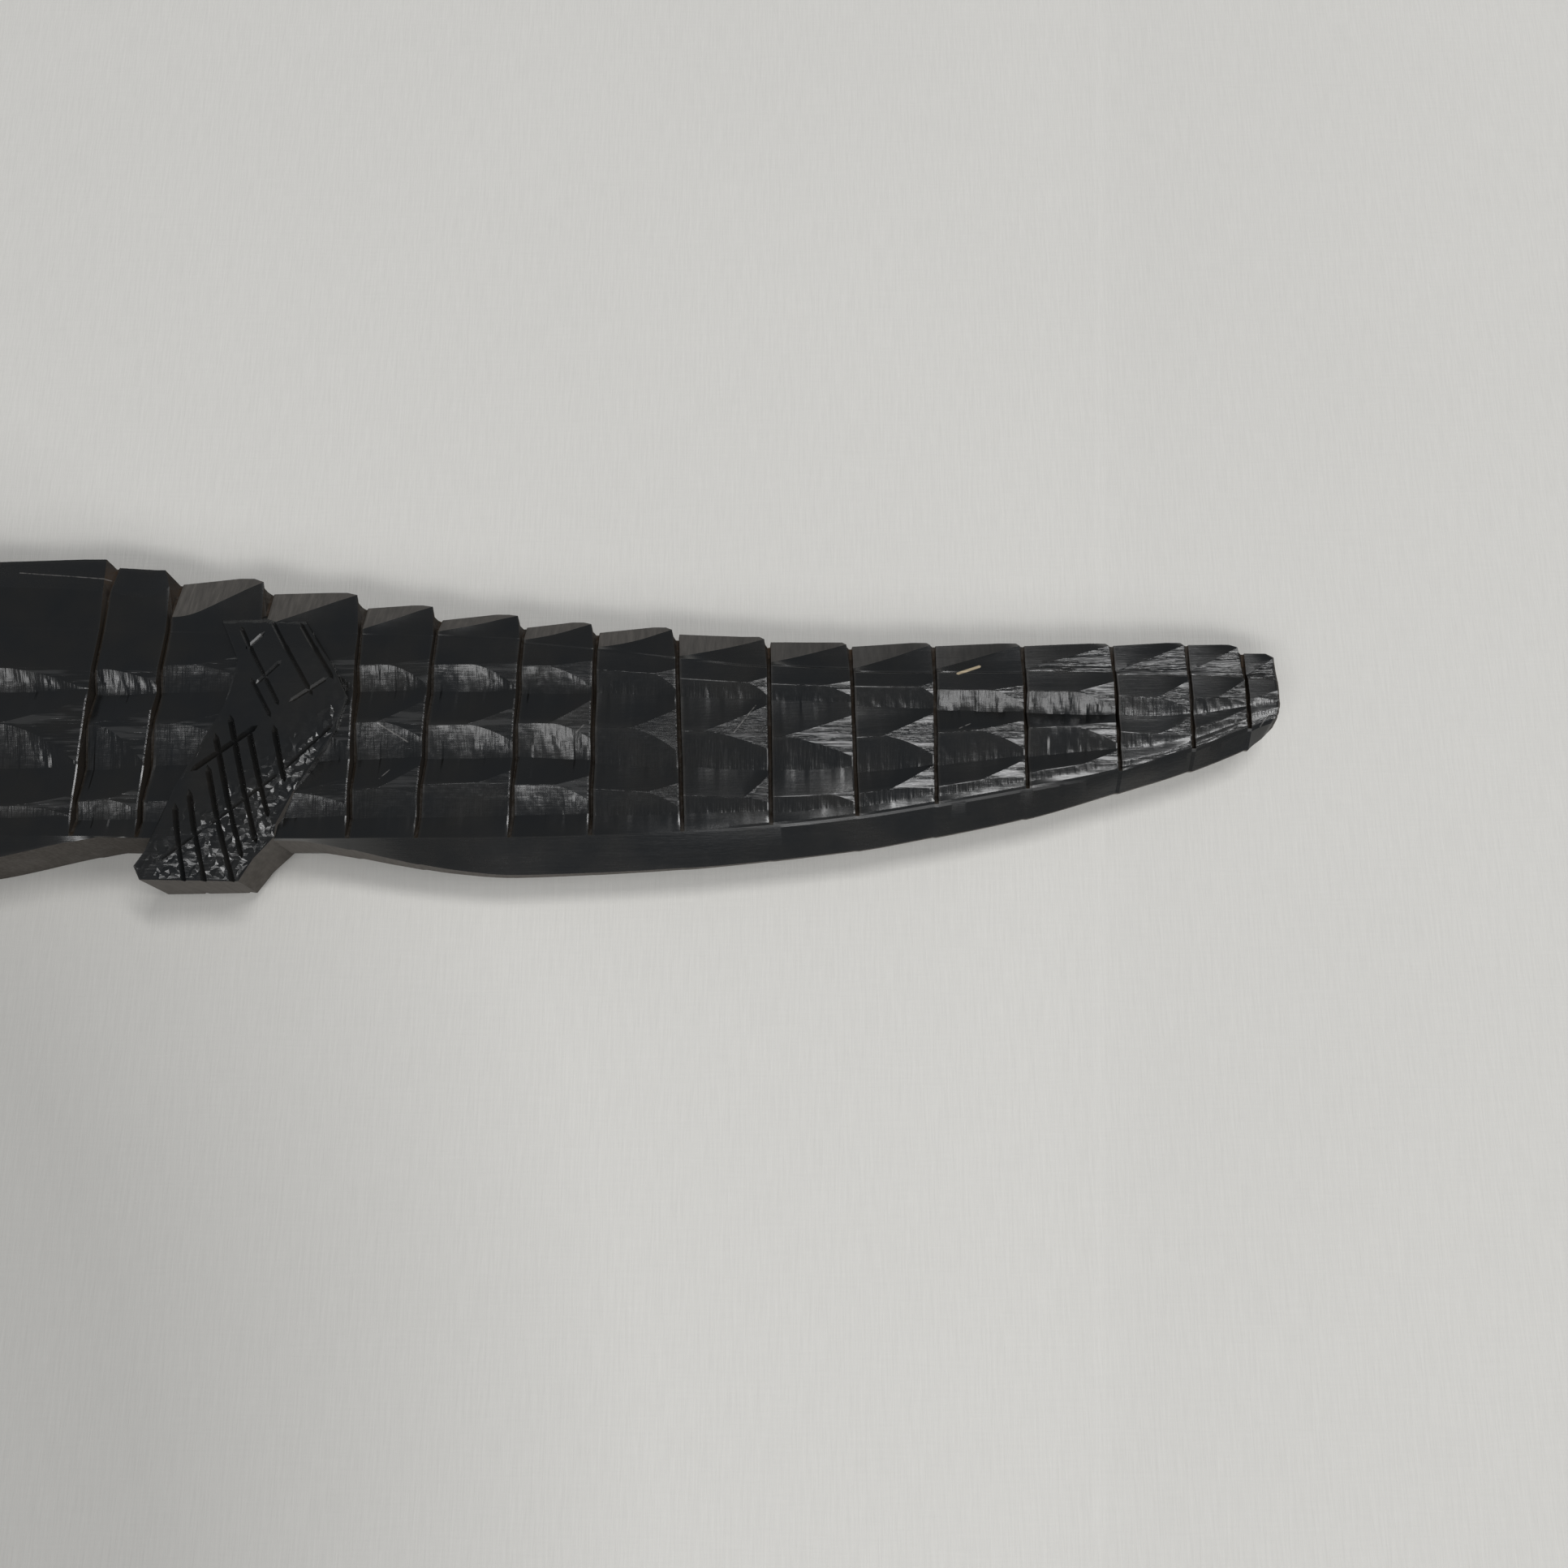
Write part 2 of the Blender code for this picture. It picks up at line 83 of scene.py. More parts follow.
# Heights of the rows at these places along the animal
PLACES = (-195, -188, -165, -145, -130, -114, -60, -15, 63, 114, 160, 175, 190, 195)
HEIGHTS = {
    VALLEY_0: (32.9, 36.8, 38.0, 41.5, 45.5, 42.0, 44.0, 43.5, 41.6, 36.9, 36.2, 36.0, 35.6, 35.4),
    RIDGE_1: (32.3, 35.2, 36.0, 38.5, 41.0, 35.5, 36.5, 36.0, 36.5, 33.4, 32.6, 31.8, 32.0, 32.2),
    VALLEY_1: (31.7, 33.8, 34.2, 35.5, 36.5, 31.5, 32.0, 32.0, 32.3, 30.6, 28.9, 28.4, 30.5, 31.2),
    RIDGE_2: (31.0, 31.8, 31.6, 31.0, 30.0, 27.0, 26.3, 26.2, 26.4, 24.6, 26.3, 25.6, 29.3, 30.3),
    VALLEY_2: (30.3, 30.0, 29.5, 28.3, 26.0, 21.5, 19.6, 18.9, 21.1, 18.6, 22.3, 23.7, 28.4, 29.7),
    RIDGE_3: (29.7, 28.6, 27.6, 25.8, 22.8, 16.5, 13.2, 12.4, 15.8, 14.0, 19.8, 22.5, 27.7, 29.1),
    VALLEY_3: (28.6, 26.3, 24.8, 22.4, 19.4, 13.6, 10.6, 10.0, 11.0, 11.9, 18.6, 21.9, 27.3, 28.7),
    ARRIS: (27.2, 24.0, 22.2, 19.4, 16.5, 11.4, 7.8, 7.3, 7.0, 9.9, 17.3, 21.3, 26.8, 28.3),
}
BACK = ((-195, 33.5), (-188, 38.4), (-165, 39.6), (-145, 44.6), (-132, 51.4), (-122, 50.6), (-114, 52.4),
        (-87, 56.4), (-57, 57.6), (-24.5, 57.5), (-4.4, 57.4), (6.5, 55.4), (23, 53.8), (39.7, 51.2),
        (51.8, 48.9), (66.6, 47.2), (79.3, 45.8), (93.5, 44.9), (108.6, 43.2), (122.6, 42.2), (166.8, 42.1),
        (179.4, 42.3), (189, 42.0), (195, 40.4))
BELLY = ((-195, 26.2), (-188, 22.4), (-165, 20.6), (-145, 17.6), (-130, 14.4), (-114, 9.8), (-92, 7.4),
         (-78, 6.8), (-62, 3.6), (-44, 1.5), (-34, 1.6), (-22, 2.6), (3, 7.4), (28, 7.3), (48, 4.0),
         (57.5, 2.5), (67.4, 1.8), (95.5, 3.2), (115.6, 5.2), (129, 7.1), (151.4, 11.5), (167.3, 16.1),
         (179.8, 19.9), (193.2, 25.4), (195, 27.4))

# Notches of the crest between two rings, and how much deeper the saw went there
NOTCH = ((-114, 1.9), (-60, 1.1), (-24.5, 0.6), (-4.4, 1.6), (6.5, 2.7), (40, 2.9), (66.6, 2.4),
         (93.5, 1.3), (108.6, 1.0), (136, 0.6), (166.8, 0.4), (180, 0.4), (189, 1.6))
RIM_KERF = ((66.6, 0.3), (79.3, 0.5), (93.5, 1.1), (108.6, 1.0), (122.6, 0.5), (136.3, 0.2))

# Least gap between two rows, and the last stretch of the tail, where the rows wander less and less
LEAST_GAP = 0.16
STEADY_END = 25.0

# How full the cross-section is at each row, as a share of the flank's half thickness
LEVEL = (0.40, 0.80, 0.86, 0.97, 0.97, 1.0, 1.0, 1.0, 1.0, 0.99, 0.99, 0.97, 0.95, 0.9)

# The row under the rim: a level drop on the body, and a slanted facet of each ring on the tail and head.
# Then how full the section is there on the body and on the tail
BROW_DROP = 5.5
BROW_FALL = 1.5
BROW_BODY = (-135.0, -115.0, 0.0, 12.0)
BROW_START = 0.12
BROW_RISE = 0.8
BROW_GAP = 0.3
BROW_LEVEL = 0.82
BROW_TAIL = 0.58
BROW_FADE = (60.0, 92.0)
BROW_LEAST = 1.0
RIM_CHAMFER = 0.9

# Half thicknesses: of the flanks, of the narrow rim of the back and of the sawn underside
FLANK = ((-195, 4.4), (-188, 5.0), (-165, 5.6), (-130, 6.2), (-114, 6.5), (-60, 6.6), (40, 6.5), (66, 6.1),
         (95, 5.5), (125, 5.0), (152, 4.6), (180, 3.8), (195, 3.1))
RIM_HALF = ((-195, 2.2), (-188, 3.2), (-150, 3.6), (-130, 4.2), (-114, 3.0), (-60, 2.5), (40, 2.4),
            (100, 2.2), (160, 1.9), (195, 1.5))
UNDERSIDE = ((-195, 1.8), (-165, 3.6), (-130, 5.0), (-100, 6.0), (5, 5.9), (32, 4.2), (60, 1.5), (95, 0.7),
             (118, 0.4), (195, 0.4))

# Rings between saw kerfs: the place of each kerf and its lean over 25 mm of height
KERFS = ((-114.0, 0.3), (-101.5, -0.4), (-87.5, 0.3), (-72.0, -0.5), (-57.5, 0.5), (-41.0, -0.3),
         (-24.5, -0.6), (-4.4, 0.2), (6.5, 0.7), (23.0, 0.0), (39.7, -0.5), (51.8, 0.6), (66.6, 0.2),
         (79.3, -0.2), (93.5, -1.2), (108.6, -0.4), (122.6, -0.6), (136.3, 0.4), (151.4, 0.5), (166.8, 0.2),
         (179.4, 0.6), (189.0, 0.4))
LEAN_MIDDLE = 28.0
LEAN_SPAN = 25.0
KERF_FLOOR = 0.55
LIP_LENGTH = 0.28
LIP_DROP = 0.14
UPPER_LIP = 0.3
RIM_BEVEL = 0.3
NOTCH_BEVEL = 0.95
CREST_RISE = 1.25

# End of the tail: shallow cuts, a worn edge that thins from a place along the last ring, and corners set
# back above and below these heights
TIP_STEPS = tuple(i / 12 for i in range(10)) + (0.8, 0.86, 0.91, 0.95, 0.98, 1.0)
TIP_CUT = 0.25
TIP_THINS_FROM = 0.8
TIP_SHRINK = 0.35
END_TOP = 39.0
END_TOP_ROUND = 0.6
END_BOTTOM = 31.5
END_BOTTOM_ROUND = 0.16
END_BOTTOM_CURVE = 1.5
LEAST_HALF = 0.3

# Gouge cuts of a ring: deep at its front, running out to a tip at its rear edge
VALLEY_0_DEPTH = 0.55
VALLEY_0_TAIL = 0.75
VALLEY_0_RUN_OUT = 0.5
VALLEY_0_CURVE = 1.2
RIDGE_LOSS = 0.45
LEAST_APEX = 0.15
DEEPEST = 2.05
FAR_FLANK = 0.7
FULL_FLANK = 6.5
UPPER_CURVE = 1.1
LOWER_CURVE = 1.7

# Near flank of the rings around and behind the hind leg. For each of the three ridges: where the apex of
# its uncut triangle stands along the ring, and how far the triangle spreads up and down from the ridge at
# the ring's rear, in millimetres. Then how steep the walls under the ridges are.
RINGS = {
    6: ((0.20, 0.3, 4.0), (0.25, 4.1, 7.0), (0.50, 1.5, 2.0), (0.47, 0.45, 0.28)),
    7: ((0.02, 0.2, 2.4), (0.05, 2.5, 6.8), (0.45, 2.0, 2.0), (0.50, 0.33, 0.32)),
    8: ((0.30, 2.0, 3.5), (0.20, 3.0, 5.0), (0.50, 2.0, 2.5), (0.30, 0.30, 0.25)),
    9: ((0.50, 2.0, 3.5), (0.30, 3.0, 4.5), (0.40, 2.0, 2.5), (0.28, 0.30, 0.30)),
    10: ((0.35, 1.0, 3.6), (0.31, 3.8, 2.9), (0.38, 3.6, 1.2), (0.38, 0.34, 0.22)),
    11: ((0.42, 0.5, 3.7), (0.43, 3.2, 2.8), (0.60, 2.2, 2.4), (0.47, 0.39, 0.22)),
    12: ((0.35, 1.6, 3.0), (0.42, 4.4, 2.3), (0.50, 2.0, 2.2), (0.38, 0.47, 0.34)),
    13: ((0.70, 1.2, 2.4), (0.42, 3.8, 3.6), (0.60, 2.0, 2.2), (0.25, 0.24, 0.22)),
    14: ((0.75, 1.2, 2.0), (0.24, 5.0, 2.7), (0.70, 3.8, 0.6), (0.24, 0.22, 0.20)),
    15: ((0.60, 1.0, 1.6), (0.09, 3.7, 3.5), (0.62, 0.4, 1.7), (0.31, 0.21, 0.20)),
    16: ((0.80, 1.0, 1.4), (0.31, 3.7, 3.8), (0.39, 3.3, 0.8), (0.31, 0.27, 0.18)),
    17: ((0.60, 1.0, 2.4), (0.39, 1.4, 3.6), (0.46, 2.4, 0.6), (0.70, 0.30, 0.20)),
    18: ((0.53, 2.3, 2.6), (0.41, 1.2, 2.5), (0.55, 1.6, 0.6), (0.75, 0.40, 0.20)),
    19: ((0.52, 3.2, 2.1), (0.53, 2.1, 1.0), (0.48, 0.4, 0.4), (0.26, 0.26, 0.20)),
    20: ((0.43, 3.1, 0.9), (0.44, 0.9, 0.9), (0.50, 0.4, 0.4), (0.37, 0.32, 0.25)),
}
APEX_RANGE = (0.1, 0.6)
RISE_RANGE = (0.15, 0.75)
FALL_RANGE = (0.5, 0.95)
WALL_RANGE = (0.24, 0.5)
ROW_WANDER = 0.35

# Which rings carry which marks, and how strong each mark is
CREST_FROM = 8
CREST_FADE = (12.5, 18.5)
LAST_KERF = 20
TORN_RINGS = (13, 15)
POLISHED_UNCUT = 0.45
BROW_TORN_FROM = 18
BROW_UNCUT = 0.65
HEAD_UNCUT = 0.6
LEG_UNCUT = 0.12
RIM_FACET = 0.8
NOTCH_RUST = 0.75
KERF_SAWN = 0.5
FRONT_DUST = 0.3
REAR_DUST = 0.8
DUSTY = 0.5
TIP_SAWN = (0.9, 0.8)
TIP_DUST = (0.86, 0.6)
END_SAWN = 0.7
END_DUST = 0.3
PALE_SOLE_FROM = 9
BODY_SOLE_DUST = 0.55
LEG_SIDE_DUST = 0.4
SAWN_TOP = 15.0

# Head
MOUTH = (-193.0, -131.0)
MOUTH_DEPTH = 1.2
LIP = 0.9
TOOTH_PITCH = 3.1
TOOTH_SWING = 0.85
TOOTH_GROWTH = 9.0
FIRST_TOOTH = 0.3
HEAD_STEP = 1.05
HEAD_U = 0.6
HEAD_SPREAD = 0.44
NECK_GAP = 1.2
SNOUT_ROUND = 1.8
SNOUT_STEPS = 6
SNOUT_SHRINK = 0.5
EYE = (-134.0, 43.6)
EYE_RINGS = ((4.3, 5.0), (4.3, 5.7), (4.15, 6.1), (3.8, 6.35), (3.3, 6.3), (3.0, 6.1), (2.75, 6.3),
             (2.4, 6.6), (1.8, 6.8), (1.0, 6.9), (0.4, 6.92))
NOSTRIL = (-188.2, 35.2)
NOSTRIL_RINGS = ((2.2, 3.1), (2.1, 4.1), (1.8, 4.5), (1.4, 4.7), (1.0, 4.6), (0.7, 4.2), (0.4, 4.0))
BOSS_SIDES = 36

# Legs: outline from the front of the sole, sizes of the hatching and its lines
LEG_PLACES = {"hind": 6.8, "front": -101.0}
LEG_OUTLINE = ((0.5, 0.0), (16.0, 0.0), (18.2, 3.6), (21.5, 7.2), (21.6, 9.2), (24.2, 14.8),
               (30.4, 25.0), (31.8, 30.9), (29.0, 36.4), (20.9, 49.3), (6.4, 49.0), (13.1, 37.2),
               (11.7, 29.5), (4.7, 14.8), (1.0, 4.6), (-0.6, 2.2))
FOLD = ((2.8, 2.6), (31.0, 27.5))
FOLD_SLOPE = 0.13
FOOT = 8.6
FOOT_SLOPE = 0.10
SHOULDER = 39.5
SHOULDER_SLOPE = 0.31
LEG_TOP = 44.5
TOP_SLOPE = 0.5
HATCH_HALF = 0.5
HATCH_NARROW = 0.6
HATCH_TAPER = 1.3
HATCH_FULL = 0.8
HATCH_STEP = 1.6
HATCH_DEPTHS = (0.5, 1.0, 0.7)
HATCH_OVER = 3.0
SOLE_REACH = 1.5
CUTTER_LIFT = 0.25
GROOVE_DUST = 0.2
THIGH_HATCH = ((15.2, 34.6, 19.8, 26.7), (12.3, 44.2, 20.9, 28.8), (17.4, 45.3, 26.4, 30.5),
               (22.2, 44.9, 29.6, 33.4), (17.1, 43.1, 14.0, 38.8), (20.8, 37.6, 16.1, 32.6),
               (29.0, 34.6, 21.8, 29.5))
SHANK_HATCH = ((5.2, 12.9, 7.3, 0.6), (7.2, 15.2, 10.5, 0.6), (9.8, 19.3, 14.9, 0.6),
               (10.5, 24.8, 16.6, 3.2), (12.6, 28.0, 18.8, 5.6), (15.9, 25.6, 20.5, 9.8),
               (20.0, 26.2, 22.8, 15.6), (6.9, 17.7, 17.8, 26.0))
FOLD_HATCH = ((2.8, 2.6, 10.5, 8.4), (10.5, 8.4, 21.9, 17.9), (21.9, 17.9, 30.2, 26.4))
RECESS_DEPTH = 0.75
RECESS_REACH = 26.0
RECESS_TOP = 44.0
RECESS_EDGE = 1.6
LEG_GRID = 0.62
LEG_CORNER = (-1, 0)
LEG_SPAN = (34, 50)
GRID_LOOSE = (0.15, 0.85)
GRID_CLEAR = 0.4
THIGH_ROUGH = 0.03
FOOT_ROUGH = 0.3
PAD = (-7.0, 1.5)
CDT_MERGE = 1e-5

# Fineness of the surface: steps along a ring, and steps between rows on the near flank and on the far flank
RING_STEPS = 36
HIDDEN_STEPS = 20
NEAR_BANDS = (4, 6, 4, 4, 6, 4, 9, 6, 4, 5, 5, 4, 3)
FAR_BANDS = (2, 2, 2, 1, 3, 2, 1, 3, 2, 1, 3, 2, 2)
ACROSS_RIM = 4
ACROSS_BELLY = 3

# Bites of the gouge on the walls that face the belly, along the longest ring
CHATTER_BANDS = (RIDGE_1 + 1, RIDGE_2 + 1, RIDGE_3 + 1)
BITE_PITCH = (1.2, 3.2)
BITE_DEPTH = (0.3, 1.0)
BITE_SLANT = -0.3
BITE_TILT = 1.1
BITE_SHALLOW = 0.3
BITE_WALLS = (0.26, 0.42)
BITE_FULL = 2.0
TILT_FULL = 3.0
BITE_ROUND = 0.4
LONGEST_RING = 26.0
SCOOP = 0.012

# Worn edge between flank and belly, and the fine line between crest and flank
ARRIS_BEVEL = 0.45
ARRIS_WORN = 0.14
TAIL_FADE = (85.0, 112.0)
GROOVE_HALF = 0.22
GROOVE_SUNK = (0.06, 0.14)
LEAST_WIDTH = 0.01
FULLEST = 0.94

# Marks that the painting of the wood reads: one number a face
SAWN, DUST, UNCUT, FACET, WALL, RUST = "sawn", "dust", "uncut", "facet", "wall", "rust"
MARKS = (SAWN, DUST, UNCUT, FACET, WALL, RUST)
WEAR = "wear"
SHARP_ANGLE = math.radians(10)
LEAST_FACES = 10000

# Scratches on the left flank, the last of them a painted highlight along the edge under the body's crest,
# and the chip on the crest, each from end to end
SCRATCHES_AND_EDGE_HIGHLIGHT = (((102.7, 25.1), (106.3, 29.9)),
             ((43.8, 26.4), (48.9, 23.3)),
             ((44.6, 17.0), (46.1, 18.6)),
             ((76.7, 25.0), (77.9, 26.3)),
             ((140.2, 26.1), (142.1, 27.0)),
             ((190.8, 26.9), (192.6, 29.4)),
             # A painted highlight, not a scratch: a bright line along the edge under the body's crest
             ((-20.5, 54.4), (-4.6, 53.0)))
SCRATCH_AND_HIGHLIGHT_REACH = 0.14 * MM
CHIP = ((140.3, 36.0), (144.1, 37.4))
CHIP_REACH = 0.34 * MM
NEAR_FLANK = (0.5 * BOARD * MM, 0.6 * BOARD * MM)

# How the tool marks are drawn out along the animal, and their detail
MARK_STRETCH = (0.12, 1.0, 1.0)
MARK_DETAIL = 2.0

# Patterns of the wood's finish: the scale of each, the scale of its axes, and its detail
EVEN = (1.0, 1.0, 1.0)
PATTERNS = {
    "grain": (1000.0, (0.07, 1.0, 1.0), 3.0),
    "fibres": (1000.0, (0.35, 4.5, 4.5), 2.0),
    "clouds": (110.0, EVEN, 3.0),
    "grit": (1600.0, EVEN, 3.0),
    "scrapes": (1000.0, (2.6, 0.22, 0.4), 2.0),
    "saw marks": (900.0, (2.2, 0.25, 0.4), 2.0),
    "flakes": (1000.0, (0.75, 0.5, 0.5), 1.0),
}

# Where in a pattern, or in a mark's strength, each part of the finish begins and where it is full
WARM_CLOUDS = (0.35, 0.7)
# Pale streaks of the torn grain, partly a painted highlight in place of the sheen along them
TORN_AND_SHEEN_STREAKS = (0.5, 0.6)
RAISED_GRAIN = (0.38, 0.62)
DUST_LIES = (0.12, 1.0)
RUST_CLOUDS = (0.42, 0.6)
WORN = (0.12, 0.45)
SCRATCH_AND_HIGHLIGHT_GRIT = (0.3, 0.55)
CHIP_EDGE = (0.1, 0.5)

# How much of each finish shows over the one below it
# How much of the pale torn grain and its painted highlight shows
TORN_AND_SHEEN_SHOWS = 0.75
RUBBED_SHOWS = 0.2
SCRATCH_AND_HIGHLIGHT_SHOWS = 0.8

# Fixed colours and the polish of the wood
# Pale torn grain, partly a painted highlight: its brightness stands in for the sheen of light along the
# streaks
TORN_WOOD_AND_PAINTED_SHEEN = (0.3, 0.297, 0.295, 1.0)
RUBBED_WOOD = (0.07, 0.066, 0.06, 1.0)
# Colour of the scratches, and of the painted highlight along the edge under the body's crest
SCRATCH_AND_HIGHLIGHT_WOOD = (0.2, 0.19, 0.18, 1.0)
POLISH = 0.16
MATT = 0.8
MATT_SHINE = 0.12
WOOD_IOR = 1.6
BUMP_STRENGTH = 0.6
BUMP_HEIGHT = 0.1 * MM

# Cloth: half its side, its threads, its clouds and darkest tone, its dull surface, and its weave's height
CLOTH_HALF = 4.0
THREAD_STRETCH = 0.06
THREAD_UNEVEN = 0.7
THREAD_DETAIL = 2.0
WARP, WEFT = 1.4, 0.6
WEAVE_TONE = (0.7, 1.3)
CLOTH_CLOUDS = (9.0, EVEN, 2.0)
CLOTH_DARKEST = 0.9
CLOTH_MATT = 0.9
CLOTH_SHINE = 0.2
WEAVE_STRENGTH = 0.35
WEAVE_HEIGHT = 0.12 * MM

# Painted shadow on the cloth beyond the belly, darkening its colour in a soft patch: its middle, its reach
# and its deepest tone
PAINTED_SHADOW_PLACE = (-0.15, -0.15, 0.0)
PAINTED_SHADOW_REACH = (0.165, 0.243)
PAINTED_SHADOW_LEAST = 0.7

# Old fold of the cloth, beyond the tail, painted into its colour: a painted highlight along the crease, and
# painted shade, a little less light, behind it
FOLD_PLACE = 0.166
FOLD_LEAN = 0.056
FOLD_REACH = 0.009
FOLD_PAINTED_SHADE = 0.03
CREASE_REACH = 0.0015
CREASE_PAINTED_HIGHLIGHT = 0.02

# Lights: where each one hangs, what it faces and how large it is. Then the colour of the room
LIGHTS = {
    "window": ((-0.2, -1.0, 1.36), (0.06, 0.0, 0.0), (1.4, 0.3)),
    "curtain": ((0.0, -1.40, 1.24), (0.06, 0.0, 0.0), (2.4, 0.7)),
    "overhead": ((0.57, 0.47, 1.5), (0.25, 0.0, 0.0), (0.76, 0.2)),
    "doorway": ((1.6, -0.1, 0.95), (0.1, 0.0, 0.0), (0.5, 1.0)),
}
ROOM_TINT = (0.86, 0.92, 1.0, 1.0)

# Camera, as the photograph was taken
CAMERA_PLACE = (0.111, -0.0788, 0.251)
CAMERA_TILT = math.radians(15.5)
SENSOR = 36.0
FOCAL_SHARE = 1860 / 1932

# Seed of the hand's variations, and what each ring and the far flank add to it
SEED = 7
RING_SEED = 31
FAR_SEED = 997


def along(knots, x):
    """Value at x of a smooth curve through (place, value) knots."""
    places = [knot[0] for knot in knots]
    at = min(max(bisect.bisect_right(places, x) - 1, 0), len(knots) - 2)
    (x0, y0), (x1, y1) = knots[at], knots[at + 1]
    before = knots[max(at - 1, 0)]
    after = knots[min(at + 2, len(knots) - 1)]
    span = x1 - x0
    t = min(max((x - x0) / span, 0.0), 1.0)
    limit = 3 * abs(y1 - y0) / span
    slopes = []
    for first, second in ((before, (x1, y1)), ((x0, y0), after)):
        slope = (second[1] - first[1]) / (second[0] - first[0])
        slopes.append(min(max(slope, -limit), limit))
    m0, m1 = slopes
    return (y0 * (1 + 2 * t) * (1 - t) ** 2 + y1 * t * t * (3 - 2 * t)
            + span * t * (1 - t) * (m0 * (1 - t) - m1 * t))


def share(value, low, high):
    """Nothing at the low end, one at the high end, and in proportion between them."""
    return min(max((value - low) / (high - low), 0.0), 1.0)


def bump(distance, reach):
    """One at no distance, falling smoothly to nothing at the reach."""
    t = max(1.0 - abs(distance) / reach, 0.0)
    return t * t * (3 - 2 * t)


def recess(x, y):
    """Depth taken off the flank so that the legs stand proud."""
    middle = sum(point[0] for point in LEG_OUTLINE) / len(LEG_OUTLINE)
    nearest = max(bump(x - start - middle, RECESS_REACH) for start in LEG_PLACES.values())
    return RECESS_DEPTH * min(RECESS_EDGE * nearest, 1.0) * bump(max(y, 0.0), RECESS_TOP) ** 0.5


def place(points):
    """Carver's millimetres to the frame's metres, with the carving on its right flank."""
    origin = np.array(((LOW.x + HIGH.x) / 2, LOW.y, (LOW.z + HIGH.z) / 2))
    return np.asarray(points, float) * MM + origin


class Ring:
    """The cuts of one ring on one flank, with what the hand varied from ring to ring."""

    def __init__(self, index, side):
        draw = random.Random(SEED + RING_SEED * index + (side < 0) * FAR_SEED)
        self.index = index
        self.side = side
        self.wander = {row: draw.uniform(-ROW_WANDER, ROW_WANDER) for row in VALLEYS + RIDGES}
        known = RINGS.get(index) if side > 0 else None
        self.known = known is not None
        if known:
            *self.triangles, self.walls = known
        else:
            ranges = (APEX_RANGE, RISE_RANGE, FALL_RANGE)
            self.triangles = [tuple(draw.uniform(*span) for span in ranges) for _ in RIDGES]
            self.walls = [draw.uniform(*WALL_RANGE) for _ in RIDGES]
        self.bites = {band: self.scallops(draw) for band in CHATTER_BANDS}
        self.force = {band: BITE_SHALLOW + (1.0 - BITE_SHALLOW) * share(wall, *BITE_WALLS)
                      for band, wall in zip(CHATTER_BANDS, self.walls)}

    def scallops(self, draw):
        """The gouge's bites along the ring: start, end, depth from 0 to 1 and tilt from -1 to 1."""
        at = -draw.uniform(0.0, BITE_PITCH[1])
        bites = []
        while at < LONGEST_RING:
            size = draw.uniform(*BITE_PITCH)
            bites.append((at, at + size, draw.uniform(*BITE_DEPTH), draw.uniform(-1.0, 1.0)))
            at += size
        return bites

    def bite(self, band, distance):
        """How deep and how tilted the gouge's bite is this far from the ring's front."""
        for start, end, depth, tilt in self.bites[band]:
            if start <= distance < end:
                t = 2 * (distance - start) / (end - start) - 1
                return depth * (1 - t * t), tilt
        return 0.0, 0.0

    def spread(self, order, u, above, middle, below):
        """Upper and lower edge of an uncut ridge, which opens to a triangle toward the ring's rear."""
        apex, rise, fall = self.triangles[order]
        if not self.known:
            rise *= above - middle
            fall *= middle - below
        t = share(u, apex, 1.0)
        upper = min(rise * t ** UPPER_CURVE, FULLEST * (above - middle))
        lower = min(fall * t ** LOWER_CURVE, FULLEST * (middle - below))
        return middle + max(upper, 0.5 * LEAST_GAP), middle - max(lower, 0.5 * LEAST_GAP)


def row_heights(x, top, u, ring):
    """Heights of the rows: u runs over a ring from front to rear. Without a ring they are the head's."""
    y = [0.0] * ROWS
    y[RIM] = top
    y[ARRIS] = along(list(zip(PLACES, HEIGHTS[ARRIS])), x)
    y[KEEL] = min(along(BELLY, x), y[ARRIS] - LEAST_GAP)
    wander = ring.wander if ring else dict.fromkeys(VALLEYS + RIDGES, 0.0)
    calm = share(PLACES[-1] - x, 0.0, STEADY_END)
    for row in VALLEYS:
        y[row] = along(list(zip(PLACES, HEIGHTS[row])), x) + calm * wander[row]
    for order, row in enumerate(RIDGES):
        middle = along(list(zip(PLACES, HEIGHTS[row])), x) + calm * wander[row]
        above, below = y[row - 1], y[row + 2]
        if ring:
            y[row], y[row + 1] = ring.spread(order, u, above, middle, below)
        else:
            half = HEAD_SPREAD * min(above - middle, middle - below)
            y[row] = middle + half
            y[row + 1] = middle - half
    neck, nape, rump, tail = BROW_BODY
    body = share(x, neck, nape) * (1.0 - share(x, rump, tail))
    slanted = y[VALLEY_0] + BROW_GAP + (top - y[VALLEY_0] - 2 * BROW_GAP) * (BROW_START + BROW_RISE * u)
    y[BROW] = body * (top - BROW_DROP - BROW_FALL * u) + (1.0 - body) * slanted
    for row in range(1, KEEL):
        y[row] = min(y[row], y[row - 1] - LEAST_GAP)
    return y


